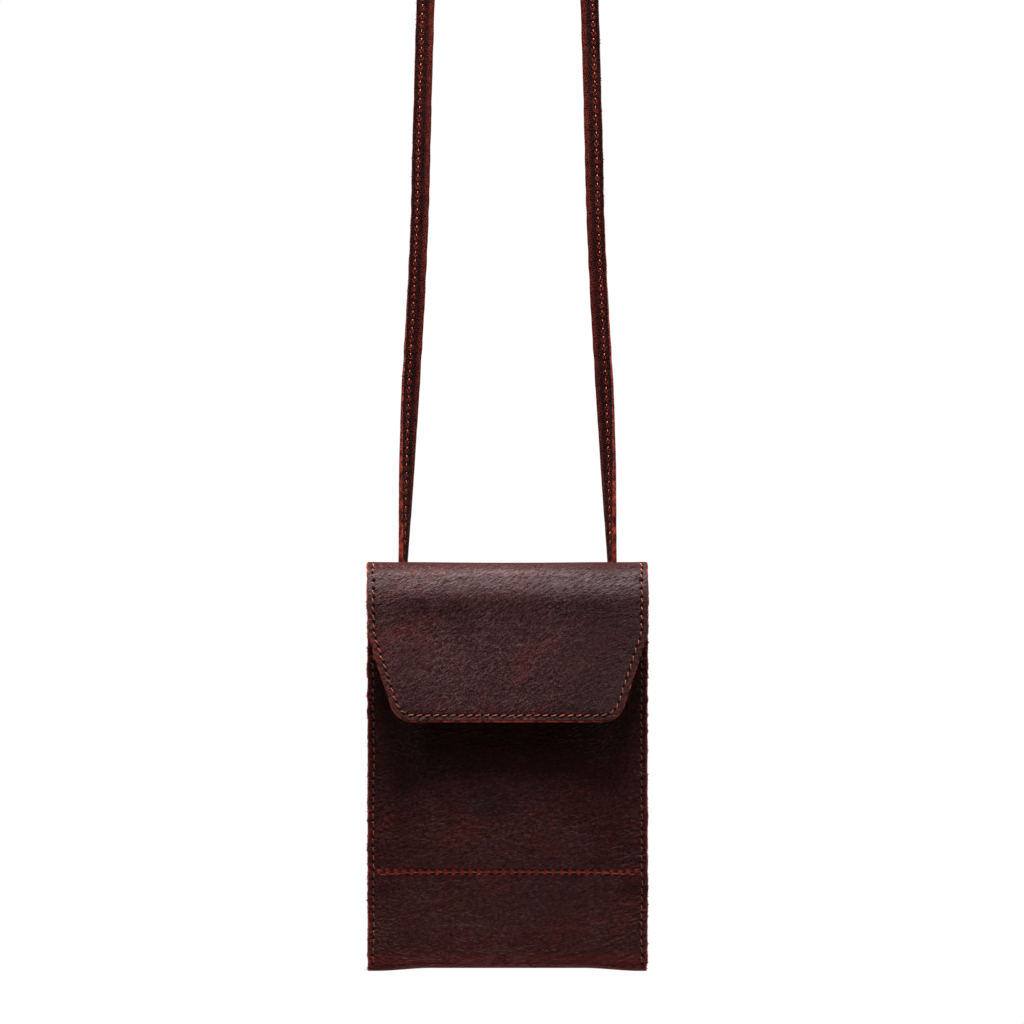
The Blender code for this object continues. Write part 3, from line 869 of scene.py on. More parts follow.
def tube(bm, rings):
    """A closed tube through rings of as many points each."""
    made = [[bm.verts.new(point) for point in ring] for ring in rings]
    count = len(made[0])
    for lower, upper in zip(made, made[1:]):
        for index in range(count):
            after = (index + 1) % count
            bm.faces.new((lower[index], lower[after], upper[after], upper[index]))
    bm.faces.new(reversed(made[0]))
    bm.faces.new(made[-1])
    return made


def round_tube(bm, path, radii, sides):
    """A round tube along a path of points, with a radius at each."""
    rings = []
    across = None
    for index, point in enumerate(path):
        before = path[max(index - 1, 0)]
        after = path[min(index + 1, len(path) - 1)]
        tangent = (after - before).normalized()
        if across is None:
            across = tangent.orthogonal().normalized()
        across = (across - tangent * across.dot(tangent)).normalized()
        rings.append(circle(point, across, tangent.cross(across), radii[index], sides))
    tube(bm, rings)


def carve(piece, cutters):
    """Takes bmesh shapes away from a piece for good."""
    for cutter_bm in cutters:
        cutter = add_piece("cutter", cutter_bm, [])
        boolean = piece.modifiers.new("hole", "BOOLEAN")
        boolean.operation = "DIFFERENCE"
        boolean.object = cutter
        carved = bpy.data.meshes.new_from_object(piece.evaluated_get(bpy.context.evaluated_depsgraph_get()))
        piece.modifiers.clear()
        piece.data = carved
        bpy.data.objects.remove(cutter)


# Stitches

class Sewing:
    """Stitches and needle holes gathered into one piece."""

    def __init__(self, name, thread=THREAD_RADIUS, slant=STITCH_SLANT, hole=HOLE_RADIUS, reach=1.0):
        self.name = name
        self.thread = thread
        self.slant = slant
        self.hole_radius = hole
        self.reach = reach
        self.bm = bmesh.new()

    def stitch(self, start, end, normal, sideways):
        """One stitch from hole to hole, slanted, rising out of the leather and diving back."""
        path = []
        for profile_share, rise, _ in STITCH_PROFILE:
            share = 0.5 + (profile_share - 0.5) * self.reach
            height = STITCH_RISE * rise if rise > 0 else STITCH_SINK * rise
            slant = sideways * self.slant * (1 - share * 2)
            path.append(start + (end - start) * share + normal * height + slant)
        round_tube(self.bm, path, [self.thread * thick for _, _, thick in STITCH_PROFILE], STITCH_SIDES)

    def hole(self, centre, normal, sideways):
        """A needle hole: a shallow lens in the leather, near-black as painted shade of the hole's inside."""
        size = self.hole_radius * RANDOM.uniform(*HOLE_SIZE_SHARES)
        top = self.bm.verts.new(centre + normal * HOLE_TOP)
        foot = self.bm.verts.new(centre - normal * HOLE_FOOT)
        rim = circle(centre + normal * HOLE_RIM, normal.cross(sideways), sideways, size, HOLE_SIDES)
        ring = [self.bm.verts.new(point) for point in rim]
        for side in range(HOLE_SIDES):
            after = (side + 1) % HOLE_SIDES
            for apex, order in ((top, 1), (foot, -1)):
                corners = (ring[side], ring[after], apex)[::order]
                self.bm.faces.new(corners).material_index = 1

    def seam(self, places):
        """Stitches through places, each a point, its normal and the direction of the thread's slant."""
        for (start, normal, sideways), (end, _, _) in zip(places, places[1:]):
            jitter = sideways * RANDOM.uniform(-1, 1) * STITCH_JITTER
            self.stitch(start + jitter, end + jitter, normal, sideways)
        for point, normal, sideways in places:
            self.hole(point - sideways * HOLE_SHIFT, normal, sideways)

    def done(self):
        """The finished piece."""
        bmesh.ops.recalc_face_normals(self.bm, faces=self.bm.faces)
        return add_piece(self.name, self.bm, [THREAD, NEEDLE_HOLE_SHADE], angle=60)


PROBE = 0.0004


def surface_place(point_at, x, along, step_x, step_along):
    """A point on a sheet's outer face, its normal, and the given flat direction on it."""
    here = point_at(x, along, 0)
    across = (point_at(x + PROBE, along, 0) - point_at(x - PROBE, along, 0)).normalized()
    onwards = (point_at(x, along + PROBE, 0) - point_at(x, along - PROBE, 0)).normalized()
    normal = across.cross(onwards).normalized()
    if normal.dot(point_at(x, along, HIDE / 2) - here) > 0:
        normal = -normal
    return here, normal, (across * step_x + onwards * step_along).normalized()


def run_lengths(points):
    """The distance along a line at each of its points."""
    lengths = [0]
    for before, after in zip(points, points[1:]):
        lengths.append(lengths[-1] + (after - before).length)
    return lengths


def segment(lengths, target):
    """The stretch of a line at a distance along it, and how far into that stretch it is, as a share."""
    index = bisect_left(lengths, target, 1, len(lengths) - 1) - 1
    return index, (target - lengths[index]) / (lengths[index + 1] - lengths[index])


def sew(point_at, line):
    """Places for Sewing.seam on a sheet, along a flat line whose left side is the inner one."""
    corners = [Vector(corner) for corner in line]
    lengths = run_lengths(corners)
    count = round(lengths[-1] / PITCH)
    places = []
    for step in range(count + 1):
        index, share = segment(lengths, lengths[-1] * step / count)
        x, along = corners[index].lerp(corners[index + 1], share)
        step_x, step_along = (corners[index + 1] - corners[index]).normalized()
        places.append(surface_place(point_at, x, along, -step_along, step_x))
    return places


# Fuzz on the cut edges

FIBRE_RADIUS = 0.00009
FIBRE_LENGTH = 0.00034
FIBRE_COUNT = 2
FIBRE_SIDES = 3
FIBRE_LEAN = 0.7
FIBRE_SCATTER = 0.0002
FIBRE_LENGTH_SHARES = (0.5, 1.2)
TUFT_LENGTH = 0.00080
TUFT_COUNT = 7
TUFT_SHARE = 0.07
FUZZ_SPACING = 0.0007
STRAP_FUZZ_SPACING = 0.0012
STRAP_FUZZ_START = 0.03
FUZZ_DEPTH_SHARES = (0.3, 0.7)
BODY_FUZZ_INSET = 0.001
FLAP_FUZZ_INSET = 0.0005
AHEAD_SHARE = 0.002


def fibres(bm, root, outward, along, count, length):
    """A few short fibres that stand out from a cut edge."""
    for _ in range(count):
        lean = Vector([RANDOM.uniform(-FIBRE_LEAN, FIBRE_LEAN) for _ in range(3)])
        direction = (outward + lean).normalized()
        shift = along * RANDOM.uniform(-FIBRE_SCATTER, FIBRE_SCATTER)
        base = root + shift - direction * FIBRE_RADIUS * 2
        tip = base + direction * length * RANDOM.uniform(*FIBRE_LENGTH_SHARES)
        side = direction.orthogonal().normalized()
        foot = circle(base, side, direction.cross(side), FIBRE_RADIUS, FIBRE_SIDES)
        ring = [bm.verts.new(point) for point in foot]
        point = bm.verts.new(tip)
        bm.faces.new(ring)
        for corner in range(FIBRE_SIDES):
            bm.faces.new((ring[corner], ring[(corner + 1) % FIBRE_SIDES], point))


def edge_fuzz(name, body, edges, spacing=FUZZ_SPACING):
    """Fibres along edges, each a function from 0 to 1 to a point and its outward direction, with a length."""
    bm = bmesh.new()
    for edge_at, length in edges:
        steps = int(length / spacing)
        for step in range(steps):
            share = (step + RANDOM.random()) / steps
            point, outward = edge_at(share)
            ahead, _ = edge_at(min(share + AHEAD_SHARE, 1))
            along = (ahead - point).normalized() if (ahead - point).length > 0 else Vector((0, 0, 1))
            if RANDOM.random() < TUFT_SHARE:
                fibres(bm, point, outward, along, TUFT_COUNT, TUFT_LENGTH)
            else:
                fibres(bm, point, outward, along, FIBRE_COUNT, FIBRE_LENGTH)
    bmesh.ops.recalc_face_normals(bm, faces=bm.faces)
    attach(add_piece(name, bm, [RAW], angle=180), body)


# Body, lining and pocket

ACROSS_STEP = 0.0018
ALONG_STEP = 0.0022
BOTTOM_STEP = 0.0006
BACK_STEP = 0.0032
POCKET_STEP = 0.003
LINING_STEP = 0.006
LINING_RUN_STEP = 0.008
SIDE_SEAM_CUTS = (-0.0012, -0.0006, 0, 0.0006, 0.0012)
ACROSS_SEAM_CUTS = (-0.0018, -0.0011, -0.0005, 0, 0.0005, 0.0011, 0.0018)
SEAM_ALONG = BOTTOM_START * (MOUTH_Z - SEAM_Z) / (MOUTH_Z - bottom_fold(0)[1])
POCKET_LENGTH = POCKET_SEAM_DROP + POCKET_HEM - POCKET_TOP_DROP
PUNCH_RADIUS = 0.0021
PUNCH_SIDES = 28
PUNCH_START_Y = BACK_FACE_Y + HIDE
PUNCH_END_Y = BACK_FACE_Y - HIDE * 2 - LINING


def body_cuts():
    """Cuts of the body's hide, close together beside its seams and round its bottom."""
    clear_x = SEAM_X - SIDE_SEAM_CUTS[-1]
    across = spread(-clear_x, clear_x, ACROSS_STEP)
    for offset in SIDE_SEAM_CUTS:
        across.extend((SEAM_X + offset, -SEAM_X - offset))
    clear = ACROSS_SEAM_CUTS[-1]
    along = spread(0, SEAM_ALONG - clear, ALONG_STEP) + spread(SEAM_ALONG + clear, BOTTOM_START, ALONG_STEP)
    along += [SEAM_ALONG + offset for offset in ACROSS_SEAM_CUTS]
    along += [BOTTOM_START] + spread(BOTTOM_START, BACK_START, BOTTOM_STEP) + [BACK_START]
    return grid_cuts(across, along + spread(BACK_START, BODY_LENGTH, BACK_STEP))


def punches():
    """A round punch for each strap hole."""
    made = []
    for side in (-1, 1):
        bm = bmesh.new()
        ends = [Vector((side * HOLE_X, y, HOLE_Z)) for y in (PUNCH_START_Y, PUNCH_END_Y)]
        round_tube(bm, ends, [PUNCH_RADIUS, PUNCH_RADIUS], PUNCH_SIDES)
        bmesh.ops.recalc_face_normals(bm, faces=bm.faces)
        made.append(bm)
    return made


body_hide = leather(
    "body_hide", rectangle(HALF_WIDTH, 0, BODY_LENGTH), body_cuts(),
    body_point, HIDE, HIDE_SIDES, butts=[BODY_LENGTH],
)
back_lining = leather(
    "back_lining_leather", rectangle(HALF_WIDTH, LINING_START, 0),
    even_cuts(LINING_STEP, LINING_START, 0, LINING_RUN_STEP),
    lining_point, LINING, LINING_SIDES, butts=[0],
)
pocket_panel = leather(
    "pocket_panel", rectangle(HALF_WIDTH, 0, POCKET_LENGTH),
    even_cuts(POCKET_STEP, 0, POCKET_LENGTH, POCKET_STEP),
    pocket_point, POCKET, LINING_SIDES,
)
carve(body_hide, punches())
carve(back_lining, punches())
stand_in(body_hide, "pouch", "body_leather")
stand_in(back_lining, "pouch", "back_lining")
stand_in(pocket_panel, "pouch", "slip_pocket")

# Fold, in strips, each a share of the fold

FOLD_STRIPS = 4
FOLD_ANGLES = [FOLD_END * index / FOLD_STRIPS for index in range(FOLD_STRIPS + 1)]
FOLD_WIDTH_STEP = 0.003
FOLD_STEP = 0.0005
FOLD_LINING_STEP = 0.0008
FLAP_SEAM_CUTS = (-0.0008, 0, 0.0008)
SIDE_CUTS = [side * (HALF_WIDTH - FLAP_SEAM + offset) for side in (-1, 1) for offset in FLAP_SEAM_CUTS]


def ease_time(share):
    """Where smoothstep reaches a share."""
    return 0.5 - sin(asin(1 - 2 * share) / 3)


def bend_with_flap(piece, first, last, radius):
    """Works out the start of a strip of the fold, between two angles, along its span, and bakes the strip's
    transform into its mesh.
    """
    middle = (first + last) / 2
    along = Vector((0, -sin(middle), cos(middle)))
    near = radius * sin(first - middle)
    far = radius * sin(last - middle)
    near_time = ease_time(first / FOLD_END)
    span = (far - near) / (ease_time(last / FOLD_END) - near_time)
    start = Vector((0, FOLD_Y, FOLD_Z)) + along * (near - near_time * span)
    start + along * span
    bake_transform(piece)


for index, (first, last) in enumerate(zip(FOLD_ANGLES, FOLD_ANGLES[1:])):
    start = first * FOLD_RADIUS
    end = last * FOLD_RADIUS
    cuts_across = spread(-HALF_WIDTH, HALF_WIDTH, FOLD_WIDTH_STEP) + SIDE_CUTS
    strip = leather(
        f"fold_hide_{index + 1}", rectangle(HALF_WIDTH, start, end),
        grid_cuts(cuts_across, spread(start, end, FOLD_STEP)),
        wrap_point, HIDE, FLAP_SIDES, butts=[start, end],
    )
    bend_with_flap(strip, first, last, FOLD_RADIUS)
    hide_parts("flap_fold")
    strip = leather(
        f"fold_lining_{index + 1}", rectangle(HALF_WIDTH, start, end),
        even_cuts(LINING_STEP, start, end, FOLD_LINING_STEP),
        lining_point, LINING, LINING_SIDES, butts=[start, end],
    )
    bend_with_flap(strip, first, last, FOLD_RADIUS - LINING_DEPTH - LINING)
    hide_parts("fold_lining")

# Flap

FLAP_STEP = 0.0012
FLAP_LINING_STEP = 0.003


def seam_cuts():
    """Cuts beside the flap's seam along its tapers and its tip."""
    cuts = []
    for offset in FLAP_SEAM_CUTS:
        cuts.append(((0, FLAP_LENGTH - FLAP_SEAM + offset), (0, 1)))
        for side in (-1, 1):
            point = (side * (HALF_WIDTH - (FLAP_SEAM + offset) / cos(TAPER_SLOPE)), TAPER_START)
            cuts.append((point, (side * cos(TAPER_SLOPE), sin(TAPER_SLOPE))))
    return cuts


flap_grid = grid_cuts(
    spread(-HALF_WIDTH, HALF_WIDTH, ACROSS_STEP) + SIDE_CUTS, spread(0, FLAP_LENGTH, FLAP_STEP),
)
flap_hide = leather(
    "flap_hide", flap_outline(0, 0), flap_grid + seam_cuts(),
    flap_point, HIDE, FLAP_SIDES, butts=[0],
)
flap_lining = leather(
    "flap_lining_leather", flap_outline(LINING_INSET, 0),
    even_cuts(FLAP_LINING_STEP, 0, FLAP_LENGTH, FLAP_LINING_STEP),
    flap_lining_point, LINING, LINING_SIDES, butts=[0],
)
stand_in(flap_hide, "flap", "flap_leather")
stand_in(flap_lining, "flap", "flap_lining")

# Stitches of the body, the fold and the flap

SEAM_TOP = 0.003
SEAM_INSET = 0.001
ACROSS_STITCHES = 31

body_sewing = Sewing("body_stitches", SIDE_THREAD, SIDE_SLANT, SIDE_HOLE)
for side in (-1, 1):
    line = [(side * SEAM_X, SEAM_TOP), (side * SEAM_X, BOTTOM_START - SEAM_INSET)]
    body_sewing.seam(sew(body_point, line[::side]))
    line = [(side * SEAM_X, BACK_START + SEAM_INSET), (side * SEAM_X, BODY_LENGTH - PITCH / 2)]
    body_sewing.seam(sew(body_point, line[::-side]))
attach(body_sewing.done(), "pouch")

seam_end = PITCH * ACROSS_STITCHES / 2
across_sewing = Sewing("pocket_seam_stitches", THIN_THREAD, 0.0, THIN_THREAD)
across_sewing.seam(sew(body_point, [(-seam_end, SEAM_ALONG), (seam_end, SEAM_ALONG)]))
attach(across_sewing.done(), "pouch")

fold_sewings = [Sewing(f"fold_stitches_{index + 1}", hole=SIDE_HOLE) for index in range(FOLD_STRIPS)]
for side in (-1, 1):
    x = side * (HALF_WIDTH - FLAP_SEAM)
    places = sew(wrap_point, [(x, -PITCH / 2), (x, FOLD_LENGTH + PITCH / 2)][::side])
    for start, end in zip(places, places[1:]):
        middle = (start[0] + end[0]) / 2
        angle = atan2(middle.z - FOLD_Z, middle.y - FOLD_Y)
        if angle < -pi / 2:
            angle += 2 * pi
        strip = min(max(int(angle / FOLD_END * FOLD_STRIPS), 0), FOLD_STRIPS - 1)
        fold_sewings[strip].seam([start, end])
for sewing, first, last in zip(fold_sewings, FOLD_ANGLES, FOLD_ANGLES[1:]):
    bend_with_flap(sewing.done(), first, last, FOLD_RADIUS)

flap_sewing = Sewing("flap_stitches")
flap_sewing.seam(sew(flap_point, flap_outline(FLAP_SEAM, PITCH / 2)[::-1]))
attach(flap_sewing.done(), "flap")

# Strap

STRAP_WIDTH = 0.0078
STRAP = 0.0022
STRAP_THREAD = 0.00022
STRAP_SLANT = 0.00010
STRAP_REACH = 0.55
PEG_RADIUS = 0.0188
ARC_RADIUS = PEG_RADIUS + 0.0012
ARC_CENTRE_Z = -PEG_RADIUS
ARC_STEPS = 16
NECK_WIDTH = 0.0042
NECK = 0.0034
NECK_LENGTH = 0.010
NECK_RETURN = 0.011
NECK_DEPTHS = (0.0038, 0.0028, 0.0018, 0.0009)
NECK_SHARE = 0.92
BEND_RADIUS = 0.0030
BEND_SHARE = 0.95
BEND_STEPS = 6
BASE_TURN = radians(74)
TURN_REACH = 0.070
TURN_POWER = 1.3
TOP_TURN_START = 0.300
TOP_TURN_END = 0.045
BOW = 0.0011
BOW_HEIGHT = 0.150
BOW_REACH = 0.100
WANDER = 0.0002
WANDER_REACH = 0.05
WANDER_SIZE = 0.035
WANDER_SEED = 2.2
WIDTH_RIPPLE_SHARE = 0.06
WIDTH_RIPPLE_SIZE = 0.006
WIDTH_SEED = 4.4
SEWN_FROM = 0.010
GROOVE_DEPTH_SHARE = 0.345
RAW_FACES = 5
RAW_EDGE_SHARES = (-0.25, 0.25)
# Half the outline of the folded and sewn strip, in shares of its width and its thickness
STRAP_OUTLINE = (
    (-0.500, 0.00), (-0.497, 0.22), (-0.480, 0.38), (-0.430, 0.47), (-0.330, 0.50), (-0.160, 0.50),
    (-0.020, 0.46), (0.080, 0.40), (0.135, 0.36), (0.172, 0.34), (0.210, 0.36), (0.265, 0.40),
    (0.340, 0.45), (0.420, 0.48), (0.475, 0.48), (0.496, 0.44), (0.500, 0.38), (0.500, 0.16),
    (0.492, 0.05), (0.465, 0.00),
)
STRAP_OUTLINE += tuple((across, -thick) for across, thick in reversed(STRAP_OUTLINE[1:-1]))


def strap_ring(centre, wide, thick, width, thickness):
    """The strap's outline round one station."""
    return [centre + wide * (a * width) + thick * (b * thickness) for a, b in STRAP_OUTLINE]


def neck_stations():
    """Stations of the neck, from inside the pouch out through its hole and up."""
    inside = Vector((-HOLE_X, PIVOT.y - BEND_RADIUS, HOLE_Z + BEND_RADIUS))
    sideways = Vector((1, 0, 0))
    stations = []
    for depth in NECK_DEPTHS:
        centre = inside + Vector((0, -depth, -BEND_RADIUS))
        stations.append((centre, Vector((0, 0, 1)), sideways, NECK_WIDTH * NECK_SHARE, NECK * NECK_SHARE))
    for step in range(BEND_STEPS):
        angle = (pi / 2) * (1 - step / BEND_STEPS)
        centre = inside + Vector((0, BEND_RADIUS * cos(angle), -BEND_RADIUS * sin(angle)))
        wide = Vector((0, -cos(angle), sin(angle)))
        stations.append((centre, wide, sideways, NECK_WIDTH * BEND_SHARE, NECK * BEND_SHARE))
    return stations


def strap_stations():
    """Stations of the left half: centre, wide and thick directions, width and thickness."""
    start = Vector((-HOLE_X, 0, HOLE_Z))
    down = ARC_CENTRE_Z - HOLE_Z
    lean = atan2(HOLE_X, down) - asin(ARC_RADIUS / hypot(HOLE_X, down))
    top = Vector((-ARC_RADIUS * cos(lean), 0, ARC_CENTRE_Z + ARC_RADIUS * sin(lean)))
    outward = Vector((-cos(lean), 0, sin(lean)))
    front = Vector((0, -1, 0))
    length = (top - start).length
    stations = neck_stations()
    count = int(length / (STRAP_PITCH / 3))
    for step in range(count + 1):
        height = BEND_RADIUS + (length - BEND_RADIUS) * step / count
        above = height - HOLE_DROP
        turn = BASE_TURN * exp(-((max(above, 0) / TURN_REACH) ** TURN_POWER))
        turn += (pi / 2 - BASE_TURN) * smooth(-above / HOLE_DROP)
        top_turn = smooth((height - TOP_TURN_START) / (length - TOP_TURN_END - TOP_TURN_START))
        turn += (pi / 2 - turn) * top_turn
        opened = smooth((height - BEND_RADIUS) / NECK_LENGTH)
        width = NECK_WIDTH + (STRAP_WIDTH - NECK_WIDTH) * opened
        width *= 1 + WIDTH_RIPPLE_SHARE * ripple(1, height, WIDTH_RIPPLE_SIZE, WIDTH_SEED) * opened
        wander = WANDER * smooth(above / WANDER_REACH) * smooth((length - height) / WANDER_REACH)
        centre = start.lerp(top, height / length)
        centre.x += wander * ripple(0, height, WANDER_SIZE, WANDER_SEED)
        centre.x += BOW * smooth(1 - abs(height - BOW_HEIGHT) / BOW_REACH)
        centre.y = PIVOT.y * (1 - smooth(height / NECK_RETURN))
        wide = outward * cos(turn) + front * sin(turn)
        thick = front * cos(turn) - outward * sin(turn)
        stations.append((centre, wide, thick, width, NECK + (STRAP - NECK) * opened))
    for step in range(1, ARC_STEPS + 1):
        angle = lean + (pi / 2 - lean) * step / ARC_STEPS
        radial = Vector((-cos(angle), 0, sin(angle)))
        centre = Vector((0, 0, ARC_CENTRE_Z)) + radial * ARC_RADIUS
        stations.append((centre, front, -radial, STRAP_WIDTH, STRAP))
    return stations


STATIONS = strap_stations()
DISTANCES = run_lengths([station[0] for station in STATIONS])


def make_strap():
    """The strap as one folded and sewn band, from hole to hole."""
    rings = [strap_ring(*station) for station in STATIONS]
    rings += [[Vector((-p.x, p.y, p.z)) for p in ring] for ring in reversed(rings[:-1])]
    bm = bmesh.new()
    made = tube(bm, rings)
    layer = bm.loops.layers.uv.new("flat")
    place = {}
    for ring, distance in zip(made, DISTANCES + DISTANCES[-2::-1]):
        for vertex, (a, _) in zip(ring, STRAP_OUTLINE):
            place[vertex] = (distance, a * STRAP_WIDTH)
    count = len(STRAP_OUTLINE)
    raw = range(count // 2 - RAW_FACES, count // 2 + RAW_FACES)
    for index, face in enumerate(bm.faces):
        for loop in face.loops:
            loop[layer].uv = place[loop.vert]
        if index < len(bm.faces) - 2 and index % count in raw:
            face.material_index = 1
    face_outwards(bm)
    return add_piece("strap_band", bm, [STRAP_GRAIN, DARK_RAW], angle=50)


def swing_with_pouch(piece):
    """Bakes a strap piece's transform into its mesh."""
    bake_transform(piece)


def strap_seam_places(mirror, face):
    """Stitch places along one face of the strap's left half, or of its mirror."""
    places = []
    number = ceil((SEWN_FROM + HOLE_DROP) / STRAP_PITCH) + 0.5
    while number * STRAP_PITCH < DISTANCES[-1]:
        index, share = segment(DISTANCES, number * STRAP_PITCH)
        centre0, wide0, thick0, width0, thickness0 = STATIONS[index]
        centre1, wide1, thick1, _, _ = STATIONS[index + 1]
        wide = wide0.lerp(wide1, share).normalized()
        thick = thick0.lerp(thick1, share).normalized() * face
        point = centre0.lerp(centre1, share) + wide * (STRAP_SEAM / STRAP_WIDTH * width0)
        point += thick * thickness0 * GROOVE_DEPTH_SHARE
        if mirror:
            for vector in (point, wide, thick):
                vector.x = -vector.x
        places.append((point, thick, wide))
        number += 1
    return places


strap_band = make_strap()
swing_with_pouch(strap_band)
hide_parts("strap")
strap_sewing = Sewing("strap_stitches", STRAP_THREAD, STRAP_SLANT, STRAP_THREAD, STRAP_REACH)
for mirror in (False, True):
    for face in (1, -1):
        strap_sewing.seam(strap_seam_places(mirror, face))
swing_with_pouch(strap_sewing.done())

# Knots inside the back

CORD = 0.0017
CORD_SIDES = 12
KNOT_HALF_HEIGHT = 0.0030
KNOT_FIT_SHARE = 0.9
KNOT_DEPTH_SHARE = 0.8
KNOT_STEPS = 46
KNOT_TURN_SHARE = 0.97
KNOT_START = 0.4
TAIL_DEPTH = 0.0013
TAIL_DROP = 0.002
TAIL_SHARES = (0, 0.15, 0.35, 0.55, 0.75, 0.92, 0.98, 1)
TAIL_BOW = 0.0006
TAIL_BEND = 3
TAIL_SIZE = (0.0028, 0.0010)
TAIL_END_SIZE = (0.0026, 0.0008)
TAIL_END_SHARE = 0.95
TAIL_FLATTENING = 1.35


def knot_path(centre, size, side):
    """An overhand knot's cord, nearly closed."""
    path = []
    for step in range(KNOT_STEPS + 1):
        angle = 2 * pi * step / KNOT_STEPS * KNOT_TURN_SHARE + KNOT_START
        x = (sin(angle) + 2 * sin(2 * angle)) / 3
        z = (cos(angle) - 2 * cos(2 * angle)) / 3
        y = -sin(3 * angle)
        path.append(centre + Vector((side * x * size.x, y * size.y * KNOT_DEPTH_SHARE, z * size.z)))
    return path


def make_knot(name, side):
    """An overhand knot at the strap's end, with its tail hanging against the lining."""
    low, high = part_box(name)
    middle_x = (low.x + high.x) / 2
    face_y = BACK_FACE_Y - LINING_DEPTH - LINING
    depth = (face_y - low.y) / 2 - CORD * KNOT_FIT_SHARE
    size = Vector(((high.x - low.x) / 2 - CORD, depth, KNOT_HALF_HEIGHT))
    path = knot_path(Vector((middle_x, (face_y + low.y) / 2, HOLE_Z)), size, side)
    bm = bmesh.new()
    round_tube(bm, path, [CORD] * len(path), CORD_SIDES)
    tail_top = Vector((middle_x, face_y - TAIL_DEPTH, HOLE_Z - TAIL_DROP))
    tail_foot = Vector((middle_x, face_y - TAIL_DEPTH, low.z))
    rings = []
    for share in TAIL_SHARES:
        point = tail_top.lerp(tail_foot, share)
        point.x += side * TAIL_BOW * sin(share * TAIL_BEND)
        half_wide, half_thick = TAIL_SIZE if share < TAIL_END_SHARE else TAIL_END_SIZE
        ring = []
        for corner in range(CORD_SIDES):
            angle = 2 * pi * corner / CORD_SIDES
            wide = max(min(cos(angle) * TAIL_FLATTENING, 1), -1) * half_wide
            ring.append(point + Vector((wide, sin(angle) * half_thick, 0)))
        rings.append(ring)
    tube(bm, rings)
    bmesh.ops.recalc_face_normals(bm, faces=bm.faces)
    stand_in(add_piece(name + "_tied", bm, [GRAIN], angle=60), "pouch", name)


make_knot("left_strap_knot", -1)
make_knot("right_strap_knot", 1)

# Snap, turned

LATHE_SIDES = 64
# Each profile is (radius, height along the axis), from the middle of one face round to the other
PLATE_PROFILE = (
    (0.0015, 0.0046), (0.0015, 0.0008), (0.0066, 0.0008), (SNAP_RADIUS, 0.0006), (SNAP_RADIUS, 0.0003),
    (0.0068, 0.0001), (0.0064, 0.0), (0.0046, 0.0), (0.0043, 0.0002), (0.0024, 0.0002), (0.0021, 0.0001),
    (0.0012, 0.0003), (0.0002, 0.0004),
)
MAGNET_PROFILE = (
    (0.0015, -0.0016), (0.0015, 0.0), (0.0062, 0.0), (0.0068, 0.0002), (SNAP_RADIUS, 0.0005),
    (SNAP_RADIUS, 0.0013), (0.0069, 0.0015), (0.0066, 0.0016), (0.0063, 0.0015), (0.0062, 0.0012),
    (0.0030, 0.0012), (0.0027, 0.0014), (0.0014, 0.0014), (0.0003, 0.0012),
)


def lathe(name, centre, axis, profile, body, node):
    """A turned piece round an axis from centre."""
    side = axis.orthogonal().normalized()
    other = axis.cross(side)
    bm = bmesh.new()
    tube(bm, [circle(centre + axis * height, side, other, radius, LATHE_SIDES) for radius, height in profile])
    bmesh.ops.recalc_face_normals(bm, faces=bm.faces)
    stand_in(add_piece(name, bm, [METAL], angle=35), body, node)


plate_centre = Vector((0, PLATE_LOW.y, SNAP_Z))
lathe("snap_plate_turned", plate_centre, Vector((0, 1, 0)), PLATE_PROFILE, "pouch", "snap_plate")
along_flap = (FOLD_Z - SNAP_Z) / cos(LEAN)
magnet_top = flap_lining_point(0, along_flap, LINING + GAP)
inwards = (flap_point(0, along_flap, HIDE) - flap_point(0, along_flap, 0)).normalized()
lathe("snap_magnet_turned", magnet_top, inwards, MAGNET_PROFILE, "flap", "snap_magnet")
for node in ("snap_plate_washer", "snap_magnet_washer"):
    frame["nodes"][node].data.materials.clear()
    frame["nodes"][node].data.materials.append(METAL)


# Fuzz

def side_edges(point_at, start, end):
    """Both side edges of the hide, for edge_fuzz."""
    def edge(side, depth):
        def at(share):
            return point_at(side * HALF_WIDTH, start + (end - start) * share, depth), Vector((side, 0, 0))
        return at, abs(end - start)
    return [edge(side, HIDE * share) for side in (-1, 1) for share in FUZZ_DEPTH_SHARES]


def strap_edge(mirror, thick_share):
    """The strap's raw edge, for edge_fuzz."""
    def at(share):
        target = STRAP_FUZZ_START + (DISTANCES[-1] - STRAP_FUZZ_START) * share
        index, past = segment(DISTANCES, target)
        centre, wide, thick, width, thickness = STATIONS[index]
        point = centre.lerp(STATIONS[index + 1][0], past)
        point += wide * width / 2 + thick * thickness * thick_share
        outward = Vector(wide)
        if mirror:
            point.x = -point.x
            outward.x = -outward.x
        return point, outward
    return at, DISTANCES[-1] - STRAP_FUZZ_START


edge_fuzz("body_fuzz", "pouch", side_edges(body_point, BODY_FUZZ_INSET, BODY_LENGTH - BODY_FUZZ_INSET))
edge_fuzz("flap_fuzz", "flap", side_edges(flap_point, FLAP_FUZZ_INSET, TAPER_START))
strap_edges = [strap_edge(mirror, share) for mirror in (False, True) for share in RAW_EDGE_SHARES]
edge_fuzz("strap_fuzz", "strap", strap_edges, STRAP_FUZZ_SPACING)

# Light, floor and camera

VIEW_WIDTH = 0.437
VIEW_DISTANCE = 2.0
VIEW_DEPTH = 0.015
VIEW_X = 0.0019
VIEW_Z = -0.6187
SENSOR = 36.0
WORLD_LIGHT = 0.03
POUCH_MIDDLE = (0, 0, -0.70)
FLOOR_Z = -1.75
FLOOR_RADIUS = 0.8
